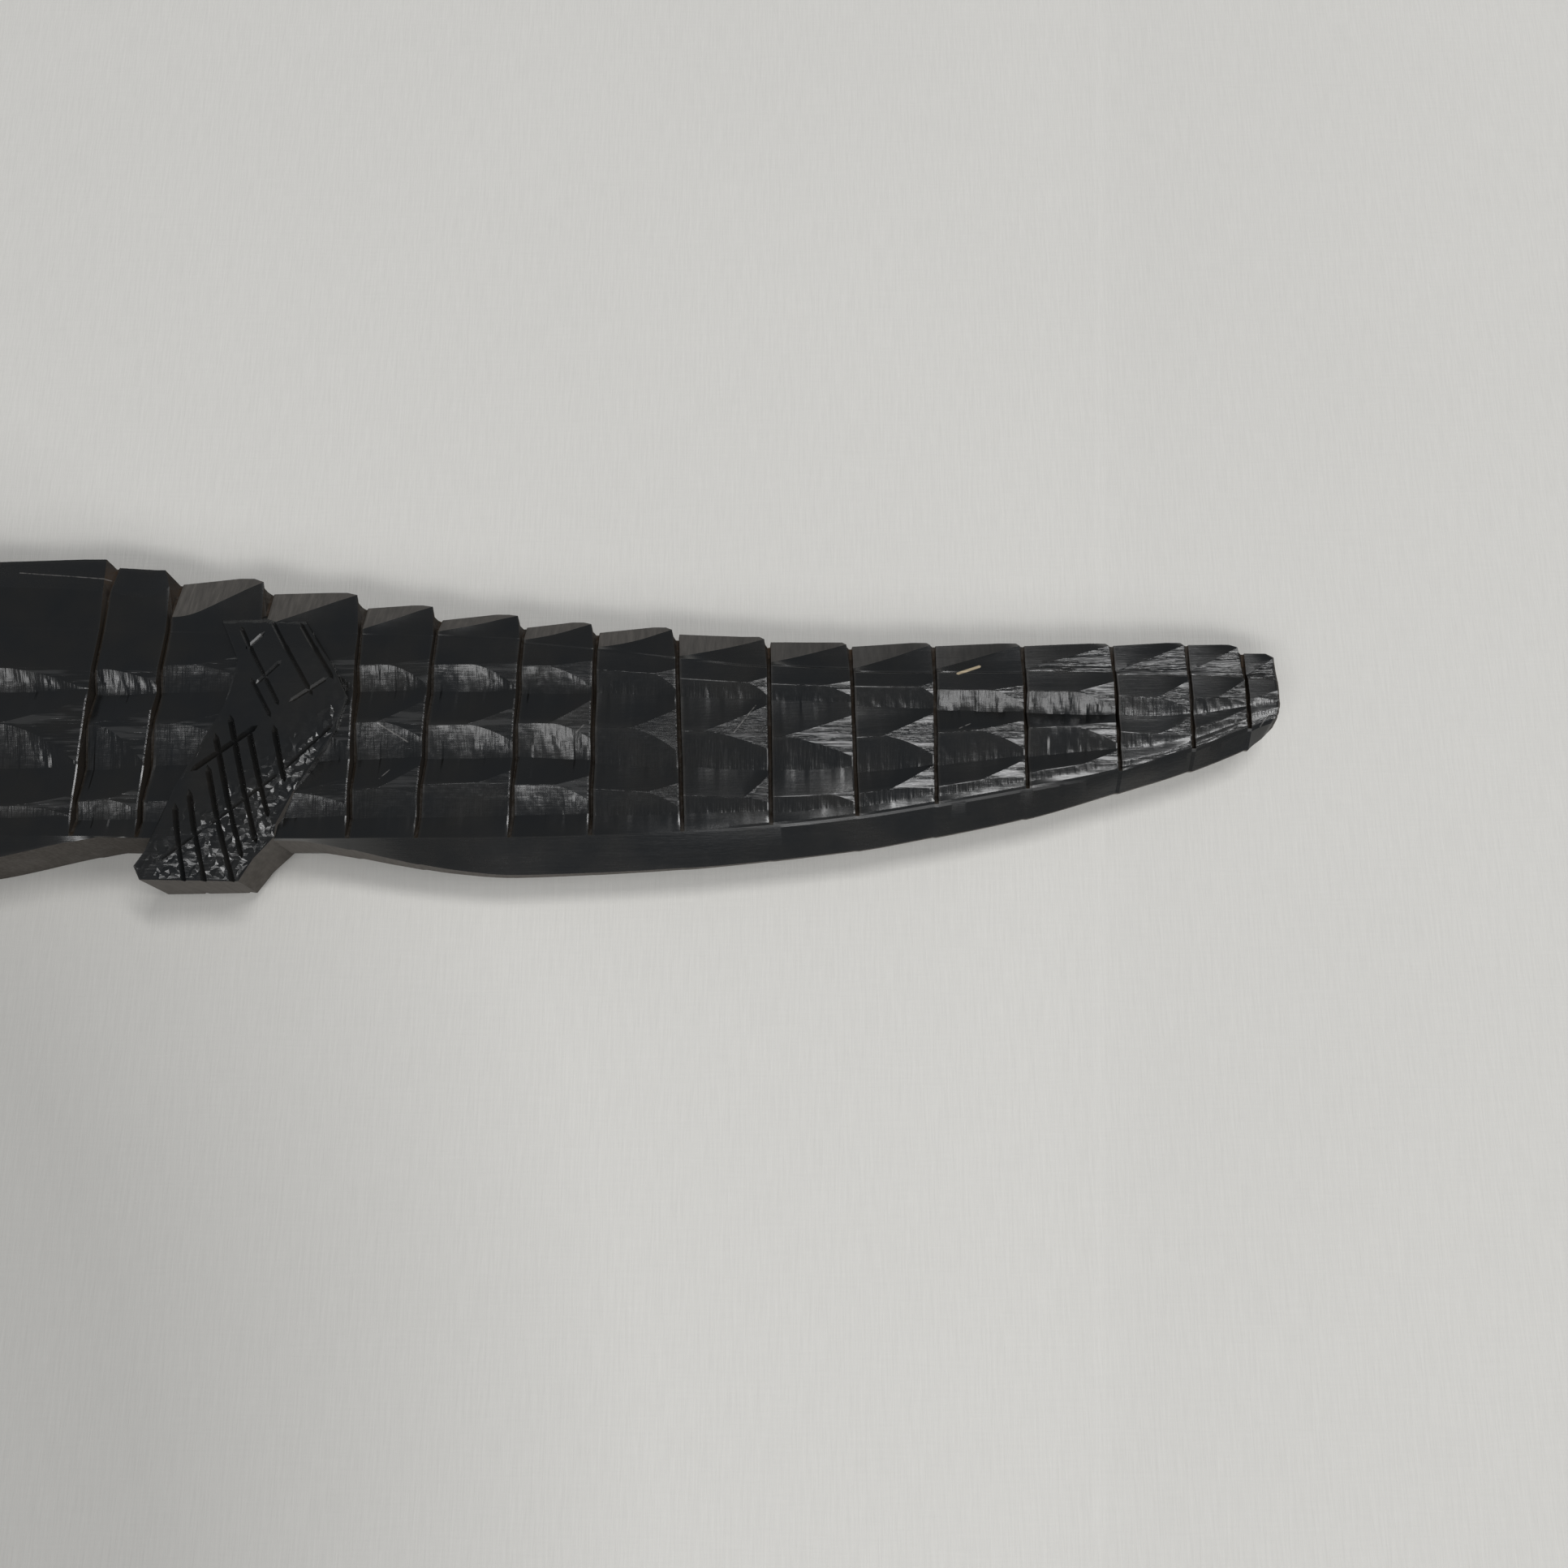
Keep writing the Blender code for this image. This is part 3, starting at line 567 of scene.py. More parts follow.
def row_depths(x, y, u, cut, side, ring):
    """Distances of the rows from the middle of the board, with the gouge cuts taken off."""
    skin = along(FLANK, x)
    rim = along(RIM_HALF, x)
    scale = cut * skin / FULL_FLANK * (FAR_FLANK if side < 0 else 1.0)
    z = [skin * level - recess(x, height) for level, height in zip(LEVEL, y)]
    z[RIM] = rim
    lifted = share(y[BROW], y[VALLEY_0], max(y[RIM], y[VALLEY_0] + BROW_LEAST))
    tail = share(x, *TAIL_FADE)
    level = skin * (BROW_LEVEL + (BROW_TAIL - BROW_LEVEL) * share(x, *BROW_FADE))
    z[BROW] = min(z[BROW], level + (rim + RIM_CHAMFER - level) * lifted ** 2)
    groove = VALLEY_0_DEPTH + (VALLEY_0_TAIL - VALLEY_0_DEPTH) * tail
    z[VALLEY_0] -= scale * groove * (1.0 - VALLEY_0_RUN_OUT * u ** VALLEY_0_CURVE)
    for order, row in enumerate(RIDGES):
        apex = ring.triangles[order][0] if ring else 1.0
        loss = scale * RIDGE_LOSS * (1.0 - share(u, 0.0, max(apex, LEAST_APEX)))
        z[row] -= loss
        z[row + 1] -= loss
        if ring:
            wall = (y[row + 1] - y[row + 2]) * ring.walls[order] * scale
            z[row + 2] = min(z[row + 2], z[row + 1] - wall)
            z[row + 2] = max(z[row + 2], skin * LEVEL[row + 2] - recess(x, y[row + 2]) - DEEPEST)
    z[KEEL] = min(along(UNDERSIDE, x), z[ARRIS])
    return z


def kerf_x(kerf, y):
    """Where a saw kerf stands along the animal at a height."""
    spot, lean = kerf
    return spot + lean * (y - LEAN_MIDDLE) / LEAN_SPAN


def tip_round(y):
    """How far the corners of the tail's end edge are set back."""
    above = END_TOP_ROUND * max(0.0, y - END_TOP) ** 2
    return above + END_BOTTOM_ROUND * max(0.0, END_BOTTOM - y) ** END_BOTTOM_CURVE


class Station:
    """One cross-section: guide rows of each flank, and the marks of the faces behind it."""

    def __init__(self, sides, rings=None, marks=None, distance=0.0):
        self.sides = sides
        self.rings = rings
        self.marks = marks or {}
        self.distance = distance


def guides(x, places, y, u, cut, sink, shrink, side, ring):
    """Guide rows of one flank as (x, y, distance from the middle of the board)."""
    z = row_depths(x, y, u, cut, side, ring)
    for row in range(BROW, ARRIS):
        z[row] -= sink if row >= RIDGE_2 or sink > LIP_DROP else UPPER_LIP * sink
    return [(px, py, max(pz * shrink, LEAST_HALF)) for px, py, pz in zip(places, y, z)]


def ring_stations(kerf_half, kerf_depth):
    """Cross-sections of the kerfed rings, front to rear."""
    stations = []
    end = (LENGTH / 2, 0.0)
    for index, (front, rear) in enumerate(zip(KERFS, KERFS[1:] + (end,))):
        last = rear is end
        rings = {side: Ring(index, side) for side in (1, -1)}
        notch_front = along(BACK, front[0]) - along(NOTCH, front[0])
        peak_rear = along(BACK, rear[0])
        drop = 0.0 if last else along(NOTCH, rear[0])
        bevel_rim = RIM_BEVEL + NOTCH_BEVEL * drop
        length = rear[0] - front[0]
        count = RING_STEPS if index in RINGS else HIDDEN_STEPS
        steps = [(1.0 - LIP_LENGTH / length) * i / count for i in range(count + 1)] + [1.0]
        for u in TIP_STEPS if last else steps:
            top = notch_front + (peak_rear - notch_front) * min(CREST_RISE * u, 1.0)
            middle = front[0] + length * u
            lip = 0.0 if last else LIP_DROP * (u == 1.0)
            shrink = 1.0
            if last and u > TIP_THINS_FROM:
                worn = (u - TIP_THINS_FROM) / (1.0 - TIP_THINS_FROM)
                shrink = TIP_SHRINK + (1.0 - TIP_SHRINK) * math.sqrt(1.0 - worn ** 2)
            sides = {}
            for side, ring in rings.items():
                y = row_heights(middle, top, u, ring)
                places = []
                for row, height in enumerate(y):
                    bevel = 0.0
                    if row == RIM:
                        bevel = bevel_rim
                    elif row == BROW:
                        bevel = RIM_BEVEL * bevel_rim
                    x0 = kerf_x(front, height) + kerf_half
                    x1 = rear[0] - tip_round(height) if last else kerf_x(rear, height) - kerf_half - bevel
                    places.append(x0 + (x1 - x0) * u)
                cut = TIP_CUT if last else 1.0
                sides[side] = guides(middle, places, y, u, cut, lip, shrink, side, ring)
            marks = {DUST: FRONT_DUST * (u == 0.0) + REAR_DUST * (u == 1.0)}
            if last:
                marks = {mark: amount * (u >= start)
                         for mark, (start, amount) in ((SAWN, TIP_SAWN), (DUST, TIP_DUST))}
            stations.append(Station(sides, rings, marks, length * u))
        if last:
            continue
        for shift in (-KERF_FLOOR, KERF_FLOOR):
            sides = {}
            for side, ring in rings.items():
                top = peak_rear - drop - along(RIM_KERF, rear[0])
                y = row_heights(rear[0], top, 0.5, ring)
                places = [kerf_x(rear, height) + shift * kerf_half for height in y]
                sides[side] = guides(rear[0], places, y, 0.0, 1.0, kerf_depth, 1.0, side, ring)
            stations.append(Station(sides, None, {SAWN: KERF_SAWN, DUST: 1.0}))
    return stations


def head_stations():
    """Cross-sections of the head, with the mouth cut as a zigzag of teeth."""
    start, stop = MOUTH
    first = -LENGTH / 2
    places = [first + SNOUT_ROUND * (1 - math.cos(math.pi / 2 * i / SNOUT_STEPS))
              for i in range(SNOUT_STEPS)]
    neck = KERFS[0][0] - NECK_GAP
    count = int((neck - first - SNOUT_ROUND) / HEAD_STEP)
    places += [first + SNOUT_ROUND + (neck - first - SNOUT_ROUND) * i / count for i in range(count + 1)]
    stations = []
    for x in places:
        y = row_heights(x, along(BACK, x), HEAD_U, None)
        biting = start <= x <= stop
        if biting:
            phase = (x - start) / TOOTH_PITCH
            wave = 2 * (phase - math.floor(phase)) - 1
            wave *= 1 if math.floor(phase) % 2 == 0 else -1
            grown = FIRST_TOOTH + (1.0 - FIRST_TOOTH) * share(x - start, 0.0, TOOTH_GROWTH)
            y[VALLEY_2] += TOOTH_SWING * wave * grown
            y[RIDGE_2 + 1] = y[VALLEY_2] + LIP
            y[RIDGE_3] = y[VALLEY_2] - LIP
        rounded = math.sqrt(1 - (1 - share(x, first, first + SNOUT_ROUND)) ** 2)
        shrink = SNOUT_SHRINK + (1.0 - SNOUT_SHRINK) * rounded
        sides = {}
        for side in (1, -1):
            rows = guides(x, [x] * ROWS, y, 1.0, 0.0, 0.0, shrink, side, None)
            if biting:
                px, py, pz = rows[VALLEY_2]
                rows[VALLEY_2] = (px, py, pz - MOUTH_DEPTH)
            sides[side] = rows
        stations.append(Station(sides))
    return stations


def near_edge(width, reach):
    """How far along a band of this width a line at this reach from its edge lies."""
    return min(reach / max(width, LEAST_WIDTH), 0.5)


def flank_points(station, side, bands, chatter):
    """Fine points down one flank of a station, between its guide rows."""
    rows = np.array(station.sides[side])
    ring = station.rings[side] if station.rings else None
    if ring:
        for band in CHATTER_BANDS:
            width = rows[band][1] - rows[band + 1][1]
            _, tilt = ring.bite(band, station.distance + BITE_SLANT * width)
            rows[band + 1][2] -= BITE_TILT * chatter * ring.force[band] * tilt * min(1.0, width / TILT_FULL)
    points = []
    for band, steps in enumerate(bands):
        a, b = rows[band], rows[band + 1]
        width = abs(a[1] - b[1])
        for i in range(steps):
            t = i / steps
            if band == VALLEY_3 and i == steps - 1:
                t = 1.0 - near_edge(width, ARRIS_BEVEL)
            elif band == ARRIS and i == 1:
                t = near_edge(width, ARRIS_BEVEL)
            elif ring and band == BROW and i == steps - 1:
                t = 1.0 - near_edge(width, GROOVE_HALF)
            elif ring and band == VALLEY_0 and i == 1:
                t = near_edge(width, GROOVE_HALF)
            point = a + (b - a) * t
            if band == ARRIS and i == 0:
                point[2] -= ARRIS_WORN * share(point[0], *TAIL_FADE)
            elif ring and band == VALLEY_0 and i == 0:
                shallow, deep = GROOVE_SUNK
                point[2] -= shallow + (deep - shallow) * share(point[0], *TAIL_FADE)
            arch = 4 * t * (1 - t)
            if ring and band not in (RIM, RIDGE_1, RIDGE_2, RIDGE_3, ARRIS):
                point[2] -= SCOOP * width * arch
            if ring and band in CHATTER_BANDS:
                depth, _ = ring.bite(band, station.distance + BITE_SLANT * width * t)
                hollow = min(1.0, width / BITE_FULL) * arch ** BITE_ROUND * depth
                point[2] -= chatter * ring.force[band] * hollow
            points.append(point)
    points.append(rows[-1].copy())
    points = np.array(points)
    points[:, 2] *= side
    return points


def band_marks(station, band):
    """Marks of the faces of one band of a flank just behind a station."""
    marks = dict.fromkeys(MARKS, 0.0)
    ring = station.rings[1] if station.rings else None
    if band != ARRIS or (ring and ring.index > LAST_KERF):
        marks.update(station.marks)
    if band == RIM:
        if ring and ring.index >= CREST_FROM:
            marks[FACET] = 1.0 - share(ring.index, CREST_FADE[0], CREST_FADE[1])
        elif station.marks.get(DUST, 0.0) > DUSTY:
            marks[RUST] = NOTCH_RUST
    elif ring and band in RIDGES:
        marks[UNCUT] = POLISHED_UNCUT + (1.0 - POLISHED_UNCUT) * share(ring.index, *TORN_RINGS)
    elif ring and band == BROW and ring.index >= BROW_TORN_FROM:
        marks[UNCUT] = BROW_UNCUT
    elif ring and band in CHATTER_BANDS:
        marks[WALL] = 1.0
    elif not ring and not station.marks:
        marks[UNCUT] = HEAD_UNCUT
    return marks


def carved_body(name, kerf_half, kerf_depth, chatter):
    """The animal without its legs, as closed loops of fine points joined along its length."""
    stations = head_stations() + ring_stations(kerf_half, kerf_depth)
    loops = []
    for station in stations:
        near = flank_points(station, 1, NEAR_BANDS, chatter)
        far = flank_points(station, -1, FAR_BANDS, chatter)[::-1]
        belly = [near[-1] + (far[0] - near[-1]) * i / ACROSS_BELLY for i in range(1, ACROSS_BELLY)]
        back = [far[-1] + (near[0] - far[-1]) * i / ACROSS_RIM for i in range(1, ACROSS_RIM)]
        loops.append(np.vstack((near, belly, far, back)))
    size = len(loops[0])
    kinds = []
    for band, steps in enumerate(NEAR_BANDS):
        kinds += [band] * steps
    kinds += ["belly"] * ACROSS_BELLY
    for band, steps in reversed(list(enumerate(FAR_BANDS))):
        kinds += [band] * steps
    kinds += ["rim"] * ACROSS_RIM
    faces = []
    marks = {mark: [] for mark in MARKS}
    for i in range(len(loops) - 1):
        for j in range(size):
            k = (j + 1) % size
            faces.append((i * size + j, i * size + k, (i + 1) * size + k, (i + 1) * size + j))
            kind = kinds[j]
            found = dict.fromkeys(MARKS, 0.0)
            if kind == "belly":
                found[SAWN] = 1.0
                found[DUST] = 0.0 if loops[i][0][0] >= KERFS[PALE_SOLE_FROM][0] else BODY_SOLE_DUST
            elif kind == "rim":
                found.update(stations[i].marks)
                found[FACET] = RIM_FACET
            else:
                found = band_marks(stations[i], kind)
            for mark in MARKS:
                marks[mark].append(found[mark])
    for start in (0, (len(loops) - 1) * size):
        faces.append(tuple(range(start, start + size)))
        for mark in MARKS:
            marks[mark].append({SAWN: END_SAWN, DUST: END_DUST}.get(mark, 0.0))
    return new_object(name, np.vstack(loops), faces, marks)


def new_object(name, points, faces, marks=None):
    """A closed mesh with its marks, from points in the carver's frame."""
    mesh = bpy.data.meshes.new(name)
    mesh.from_pydata([tuple(point) for point in place(points)], [], faces)
    for mark in MARKS:
        attribute = mesh.attributes.new(mark, "FLOAT", "FACE")
        if marks:
            attribute.data.foreach_set("value", marks[mark])
    shape = bmesh.new()
    shape.from_mesh(mesh)
    wide = [face for face in shape.faces if len(face.verts) > 4]
    bmesh.ops.triangulate(shape, faces=wide)
    bmesh.ops.recalc_face_normals(shape, faces=shape.faces[:])
    shape.to_mesh(mesh)
    shape.free()
    obj = bpy.data.objects.new(name, mesh)
    bpy.context.scene.collection.objects.link(obj)
    return obj


def fold_distance(x, y):
    """How far a point of a leg lies below the fold between thigh and shank."""
    (fx, fy), (gx, gy) = FOLD
    return ((gx - fx) * (fy - y) + (gy - fy) * (x - fx)) / math.hypot(gx - fx, gy - fy)


def leg_face(x, y):
    """Distance of a leg's outer face from the middle of the board."""
    z = BOARD / 2 - FOLD_SLOPE * max(0.0, fold_distance(x, y))
    z -= FOOT_SLOPE * max(0.0, FOOT - y)
    return z - SHOULDER_SLOPE * max(0.0, y - SHOULDER) - TOP_SLOPE * max(0.0, y - LEG_TOP)


def outline_distance(x, y):
    """Distance from a point to the leg's outline, below zero outside it."""
    nearest, inside = math.inf, False
    for (x0, y0), (x1, y1) in zip(LEG_OUTLINE, LEG_OUTLINE[1:] + LEG_OUTLINE[:1]):
        length = math.hypot(x1 - x0, y1 - y0)
        s = min(max(((x - x0) * (x1 - x0) + (y - y0) * (y1 - y0)) / length, 0.0), length)
        off_x, off_y = x - x0 - s * (x1 - x0) / length, y - y0 - s * (y1 - y0) / length
        nearest = min(nearest, math.hypot(off_x, off_y))
        if (y0 > y) != (y1 > y) and x < x0 + (y - y0) * (x1 - x0) / (y1 - y0):
            inside = not inside
    return nearest if inside else -nearest


def leg_side(draw):
    """Triangles of a leg's outline over a loose grid, and where the outline's points are."""
    points = [tuple(point) for point in LEG_OUTLINE]
    count = len(points)
    columns, lines = (int(span / LEG_GRID) for span in LEG_SPAN)
    for i in range(columns):
        for j in range(lines):
            x = LEG_CORNER[0] + LEG_GRID * (i + draw.uniform(*GRID_LOOSE))
            y = LEG_CORNER[1] + LEG_GRID * (j + draw.uniform(*GRID_LOOSE))
            if outline_distance(x, y) > GRID_CLEAR * LEG_GRID:
                points.append((x, y))
    outline = [tuple(range(count))]
    coords, _, faces, origins, _, _ = delaunay_2d_cdt(points, [], outline, 1, CDT_MERGE)
    rim = {}
    for index, sources in enumerate(origins):
        for source in sources:
            if source < count:
                rim[source] = index
    return [(c.x, c.y) for c in coords], faces, [rim[i] for i in range(count)]


def carved_leg(name, start, depth):
    """A pair of legs as one prism through the board, hatched with knife cuts on both outer faces."""
    draw = random.Random(SEED + round(start))
    points = []
    faces = []
    rims = []
    marks = {mark: [] for mark in MARKS}
    for side in (1, -1):
        coords, triangles, rim = leg_side(draw)
        first = len(points)
        for x, y in coords:
            pad = share(fold_distance(x, y), *PAD) ** 2 * min(1.0, outline_distance(x, y) / LEG_GRID)
            rough = (THIGH_ROUGH + (FOOT_ROUGH - THIGH_ROUGH) * pad) * draw.uniform(0.0, 1.0)
            points.append((x + start, y, side * (leg_face(x, y) - rough)))
        for triangle in triangles:
            faces.append(tuple(first + i for i in triangle))
            for mark in MARKS:
                marks[mark].append(LEG_UNCUT if mark == UNCUT else 0.0)
        rims.append([first + i for i in rim])
    near, far = rims
    for i in range(len(near)):
        k = (i + 1) % len(near)
        faces.append((near[i], near[k], far[k], far[i]))
        top = max(LEG_OUTLINE[i][1], LEG_OUTLINE[k][1])
        found = {SAWN: 1.0 * (top < SAWN_TOP), DUST: LEG_SIDE_DUST * (0.0 < top < SAWN_TOP)}
        for mark in MARKS:
            marks[mark].append(found.get(mark, 0.0))
    leg = new_object(name, points, faces, marks)
    cutters = []
    for side, groups in ((1, (THIGH_HATCH, SHANK_HATCH, FOLD_HATCH)),
                         (-1, (THIGH_HATCH[:4], SHANK_HATCH[:6:2], FOLD_HATCH))):
        for cuts, part in zip(groups, HATCH_DEPTHS):
            cutters += [knife_cut(f"{name}_cut", cut, start, side, depth * part) for cut in cuts]
    combine(leg, cutters, "DIFFERENCE")
    return leg


def knife_cut(name, cut, start, side, depth):
    """A V-shaped cutter along a hatch line. A line that ends near the sole runs out over its edge."""
    x0, y0, x1, y1 = cut
    if y1 < SOLE_REACH:
        x1 += (x1 - x0) * HATCH_OVER / (y0 - y1)
        y1 -= HATCH_OVER
    length = math.hypot(x1 - x0, y1 - y0)
    ux, uy = (x1 - x0) / length, (y1 - y0) / length
    half = HATCH_HALF * (HATCH_NARROW + (1.0 - HATCH_NARROW) * depth / HATCH_FULL)
    count = max(2, round((length - 2 * HATCH_TAPER) / HATCH_STEP))
    inner = [HATCH_TAPER + (length - 2 * HATCH_TAPER) * i / count for i in range(count + 1)]
    top = half * (1 + CUTTER_LIFT / depth)
    points = []
    for s in [0.0] + inner + [length]:
        x, y = x0 + s * ux, y0 + s * uy
        surface = leg_face(x, y)
        lifted = side * (surface + CUTTER_LIFT)
        if s in (0.0, length):
            points.append((x + start, y, lifted))
            continue
        points.append((x - top * uy + start, y + top * ux, lifted))
        points.append((x + top * uy + start, y - top * ux, lifted))
        points.append((x + start, y, side * (surface - depth)))
    last = len(points) - 1
    faces = [(0, 1, 2), (0, 2, 3), (0, 3, 1)]
    for first in range(1, last - 3, 3):
        for a, b in ((0, 1), (1, 2), (2, 0)):
            faces.append((first + a, first + b, first + b + 3, first + a + 3))
    faces += [(last, last - 2, last - 3), (last, last - 1, last - 2), (last, last - 3, last - 1)]
    marks = {mark: [GROOVE_DUST if mark == DUST else 0.0] * len(faces) for mark in MARKS}
    return new_object(name, points, faces, marks)


def carved_boss(name, centre, rings):
    """A round boss that shows on both flanks, as rings of (radius, distance from the middle)."""
    whole = [(radius, -z) for radius, z in rings[::-1]] + list(rings)
    points = []
    faces = []
    for radius, z in whole:
        for i in range(BOSS_SIDES):
            angle = 2 * math.pi * i / BOSS_SIDES
            points.append((centre[0] + radius * math.cos(angle), centre[1] + radius * math.sin(angle), z))
    for ring in range(len(whole) - 1):
        a = ring * BOSS_SIDES
        for i in range(BOSS_SIDES):
            k = (i + 1) % BOSS_SIDES
            faces.append((a + i, a + k, a + BOSS_SIDES + k, a + BOSS_SIDES + i))
    faces.append(tuple(range(BOSS_SIDES)))
    faces.append(tuple(range(len(points) - BOSS_SIDES, len(points))))
    return new_object(name, points, faces)


def combine(body, shapes, operation):
    """Joins the shapes to the body, or cuts them from it, and removes them."""
    for shape in shapes:
        boolean = body.modifiers.new(shape.name, "BOOLEAN")
        boolean.operation = operation
        boolean.solver = "MANIFOLD"
        boolean.object = shape
    bake_modifiers(body)
    for shape in shapes:
        bpy.data.objects.remove(shape, do_unlink=True)


def bake_modifiers(obj):
    """Turns the object's evaluated shape into its plain mesh."""
    graph = bpy.context.evaluated_depsgraph_get()
    mesh = bpy.data.meshes.new_from_object(obj.evaluated_get(graph), preserve_all_data_layers=True,
                                           depsgraph=graph)
    obj.modifiers.clear()
    old = obj.data
    obj.data = mesh
    mesh.name = obj.name
    bpy.data.meshes.remove(old)


def mark_wear(obj):
    """Stores how far each point stands out from its neighbours, for the polish on worn edges."""
    mesh = obj.data
    count = len(mesh.vertices)
    points = np.empty(3 * count)
    normals = np.empty(3 * count)
    ends = np.empty(2 * len(mesh.edges), int)
    mesh.vertices.foreach_get("co", points)
    mesh.vertices.foreach_get("normal", normals)
    mesh.edges.foreach_get("vertices", ends)
    points, normals, ends = points.reshape(-1, 3), normals.reshape(-1, 3), ends.reshape(-1, 2)
    total = np.zeros(count)
    number = np.zeros(count)
    for a, b in ((0, 1), (1, 0)):
        away = points[ends[:, a]] - points[ends[:, b]]
        away /= np.maximum(np.linalg.norm(away, axis=1), 1e-9)[:, None]
        np.add.at(total, ends[:, a], (away * normals[ends[:, a]]).sum(1))
        np.add.at(number, ends[:, a], 1)
    attribute = mesh.attributes.new(WEAR, "FLOAT", "POINT")
    attribute.data.foreach_set("value", np.clip(total / np.maximum(number, 1), -1, 1))


class Board:
    """A node tree under construction."""

    def __init__(self, tree):
        self.tree = tree
        tree.nodes.clear()

    def node(self, kind, settings=None, sockets=None, output=0):
        """Adds a node of this type with its settings, fills its sockets, and gives one of its outputs."""
        node = self.tree.nodes.new(kind)
        for name, value in (settings or {}).items():
            setattr(node, name, value)
        for name, value in (sockets or {}).items():
            socket = node.inputs[name]
            if isinstance(value, Wire):
                self.tree.links.new(value.socket, socket)
            else:
                socket.default_value = value
        return Wire(self, node.outputs[output]) if node.outputs else node

    def parts(self, vector):
        """The x, y and z of a vector."""
        first = self.node("ShaderNodeSeparateXYZ", {}, {0: vector})
        return [Wire(self, output) for output in first.socket.node.outputs]


class Wire:
    """A socket's value, for arithmetic: each operator adds its Math node."""

    def __init__(self, board, socket):
        self.board = board
        self.socket = socket

    def math(self, operation, *values):
        return self.board.node("ShaderNodeMath", {"operation": operation}, dict(enumerate(values)))

    def __add__(self, other):
        return self.math("ADD", self, other)

    def __radd__(self, other):
        return self.math("ADD", other, self)

    def __sub__(self, other):
        return self.math("SUBTRACT", self, other)

    def __rsub__(self, other):
        return self.math("SUBTRACT", other, self)

    def __mul__(self, other):
        return self.math("MULTIPLY", self, other)

    def __rmul__(self, other):
        return self.math("MULTIPLY", other, self)

    def __pow__(self, other):
        return self.math("POWER", self, other)

    def clipped(self, low, high):
        """Nothing at the low end and one at the high end."""
        sockets = {"Value": self, "From Min": low, "From Max": high}
        return self.board.node("ShaderNodeMapRange", {"clamp": True}, sockets)

    def most(self, other):
        return self.math("MAXIMUM", self, other)

    def size(self):
        """The value without its sign."""
        return self.math("ABSOLUTE", self)


def opaque(colour):
    """A colour of three numbers with full alpha."""
    return tuple(colour) + (1.0,)


def mixed(board, factor, first, second):
    """A colour between two colours."""
    settings = {"data_type": "RGBA", "blend_type": "MIX", "clamp_factor": True}
    return board.node("ShaderNodeMix", settings, {0: factor, 6: first, 7: second}, 2)


def streaks(board, coords, scale, stretch, detail, roughness=0.55):
    """Noise drawn out along an axis: stretch holds the scale of each axis."""
    drawn = board.node("ShaderNodeMapping", {}, {"Vector": coords, "Scale": stretch})
    return board.node("ShaderNodeTexNoise", {}, {"Vector": drawn, "Scale": scale, "Detail": detail,
                                                 "Roughness": roughness})


def mark(board, name):
    """A mark of the carving's faces, or of its points."""
    return board.node("ShaderNodeAttribute", {"attribute_name": name}, {}, 2)


def beside(board, coords, ends, reach):
    """One on a line across the flank, falling to nothing at the reach to either side."""
    (x0, y0), (x1, y1) = (place((x, y, 0.0))[:2] for x, y in ends)
    length = math.hypot(x1 - x0, y1 - y0)
    ux, uy = (x1 - x0) / length, (y1 - y0) / length
    x, y, z = board.parts(coords)
    x, y = x - float(x0), y - float(y0)
    run = x * ux + y * uy
    off = (y * ux - x * uy).size()
    past = (run * -1.0).most(run - length).most(0.0)
    return (1.0 - (off + past) * (1.0 / reach)).clipped(0.0, 1.0) * z.clipped(*NEAR_FLANK)


